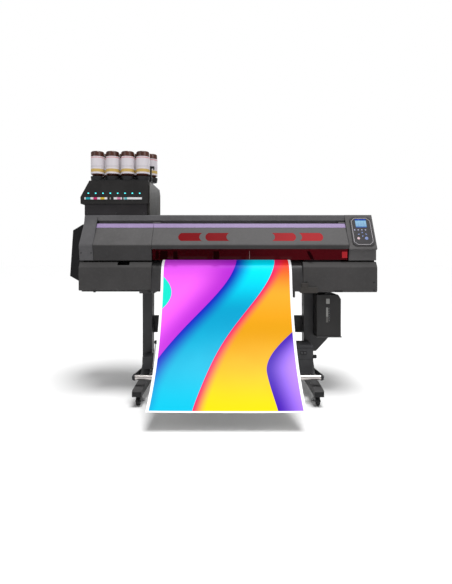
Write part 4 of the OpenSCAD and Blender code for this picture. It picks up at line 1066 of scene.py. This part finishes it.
# ---------- Media roll ----------
# The rest of the media is wound on a grey cardboard core, on two plugs below the rear
# guide. The layers show as fine rings on the roll's ends.
roll = Finish("wound media", Coat_Weight=0.1)
centre = to_row @ Vector((0, roll_y, roll_z))
from_axis = roll.add("VectorMath", dict(operation="SUBTRACT"), roll.place(), centre)
flat_away = roll.add("VectorMath", dict(operation="MULTIPLY"), from_axis, (0, 1, 1))
away = roll.add("VectorMath", dict(operation="LENGTH"), flat_away, out=0)
rings = away.maths("SINE", away * 9000.0) * 0.5 + 0.5
layers = rings * roll.span(away, 0.0592, 0.059)
fuzz = roll.noise(260.0, 4.0)
paper_tone = roll.blend(layers * 0.5 + fuzz * 0.2, (0.82, 0.82, 0.8, 1), (0.5, 0.5, 0.49, 1))
core_tone = roll.blend(fuzz, (0.3, 0.24, 0.18, 1), (0.42, 0.34, 0.25, 1))
roll_paper = roll.surface(roll.fade(away, 0.0412, 0.0415, core_tone, paper_tone),
                          fuzz * 0.2 + 0.35, layers + fuzz, 0.0002, 0.3)
left_end, right_end = sheet_middle - sheet_width / 2, sheet_middle + sheet_width / 2
bm = bmesh.new()
turned(bm, [(38.1, 0.0), (41.3, 0.0), (41.5, 0.8), (59.4, 0.8), (60, 1.6), (60, 785.4), (59.4, 786.2),
            (41.5, 786.2), (41.3, sheet_width), (38.1, sheet_width), (38.1, 0)],
       (left_end, roll_y, roll_z), right, 72)
finished(bm, "media_roll_skin", "media_roll", "roll_paper", roll_paper, ["media_roll"])
restated("rear_roll_holders", "root", "stand_black", post_paint, 1.2)
bm = bmesh.new()
for x, out in ((left_end - 13, left), (right_end + 13, right)):
    hex_bolt(bm, (x, roll_y, roll_z), out, 8, 6)
    hex_bolt(bm, (x, roll_y, roll_z + 55), out, 5, 4)
finished(bm, "roll_holder_bolts", "root", "foot_steel", screw_zinc)


# ---------- Power inlet ----------
# A moulded black inlet with three blades, held to the rear plate by two screws. A rocker
# switch in its own bezel snaps into the plate beside it.
inlet_plastic = coated("inlet plastic", (0.014, 0.014, 0.015), 0.4, 1600, 0.0001)
restated("power_inlet", "root", "inlet_black", inlet_plastic, 0.8)
bm = bmesh.new()
block(bm, (-728, 262, 684), (-700, 265, 716))
rocker = block(bm, (-723, 264, 688), (-705, 269, 712))
for v in rocker:
    if v.co.y > 267 and v.co.z < 700:
        v.co.y -= 3
soften(bm, 0.8)
finished(bm, "power_switch", "root", "inlet_black", inlet_plastic)
screws("inlet_screws", "root", "foot_steel", screw_zinc,
       (2.6, 1.2, [((x, 282, 700), back) for x in (-781, -739)]))


# ---------- Floor, light and camera ----------
# A plain pale floor under soft studio light: a wide sun overhead, two soft boxes in front
# and one behind. The camera stands level in front, at chest height.
ground = Finish("pale floor", Roughness=0.7)
mottle = ground.noise(1.7, 3.0)
pale = ground.surface(ground.blend(mottle, (0.9, 0.9, 0.9, 1), (0.92, 0.92, 0.92, 1)),
                      mottle * 0.2 + 0.55)
mesh = bpy.data.meshes.new("studio_floor")
bm = bmesh.new()
bmesh.ops.create_grid(bm, x_segments=8, y_segments=8, size=30)
bm.to_mesh(mesh)
bm.free()
mesh.materials.append(pale)
floor = in_scene("studio_floor", mesh)
world = bpy.context.scene.world or bpy.data.worlds.new("studio")
bpy.context.scene.world = world
world.use_nodes = True
sky = world.node_tree
backdrop = sky.nodes["Background"]
backdrop.inputs["Color"].default_value = (1, 1, 1, 1)
seen = sky.nodes.new("ShaderNodeLightPath").outputs["Is Camera Ray"]
level = sky.nodes.new("ShaderNodeMapRange")
level.inputs["To Min"].default_value, level.inputs["To Max"].default_value = 0.33, 1.0
sky.links.new(seen, level.inputs["Value"])
sky.links.new(level.outputs["Result"], backdrop.inputs["Strength"])


def softbox(name, at, aim, size, power):
    light = bpy.data.lights.new(name, "AREA")
    light.shape, light.size, light.size_y = "RECTANGLE", *size
    light.energy = power
    lamp = in_scene(name, light)
    lamp.location = at
    lamp.rotation_euler = (Vector(aim) - Vector(at)).to_track_quat("-Z", "Y").to_euler()


softbox("key", (2.4, -3.0, 3.4), (0.3, 0, 0.9), (2.4, 2.0), 24)
softbox("fill", (-2.8, -2.6, 2.6), (0, 0, 0.9), (1.6, 2.0), 7)
softbox("back", (0.6, 3.4, 2.6), (0, 0, 0.9), (2.6, 1.6), 26)
overhead = bpy.data.lights.new("overhead", "SUN")
overhead.energy, overhead.angle = 2.8, math.radians(26)
in_scene("overhead", overhead).rotation_euler = (math.radians(12), math.radians(7), 0)
bpy.context.scene.view_settings.view_transform = "Standard"
lens = bpy.data.cameras.new("studio_camera")
camera_away, camera_height = 2730, 870
lens.lens, lens.sensor_width = 26.01, 36
lens.shift_x, lens.shift_y = -0.0034, -0.0651
camera = in_scene("studio_camera", lens)
camera.location = to_row @ Vector((0, -camera_away, camera_height))
camera.rotation_euler = (math.pi / 2, 0, 0)
bpy.context.scene.camera = camera
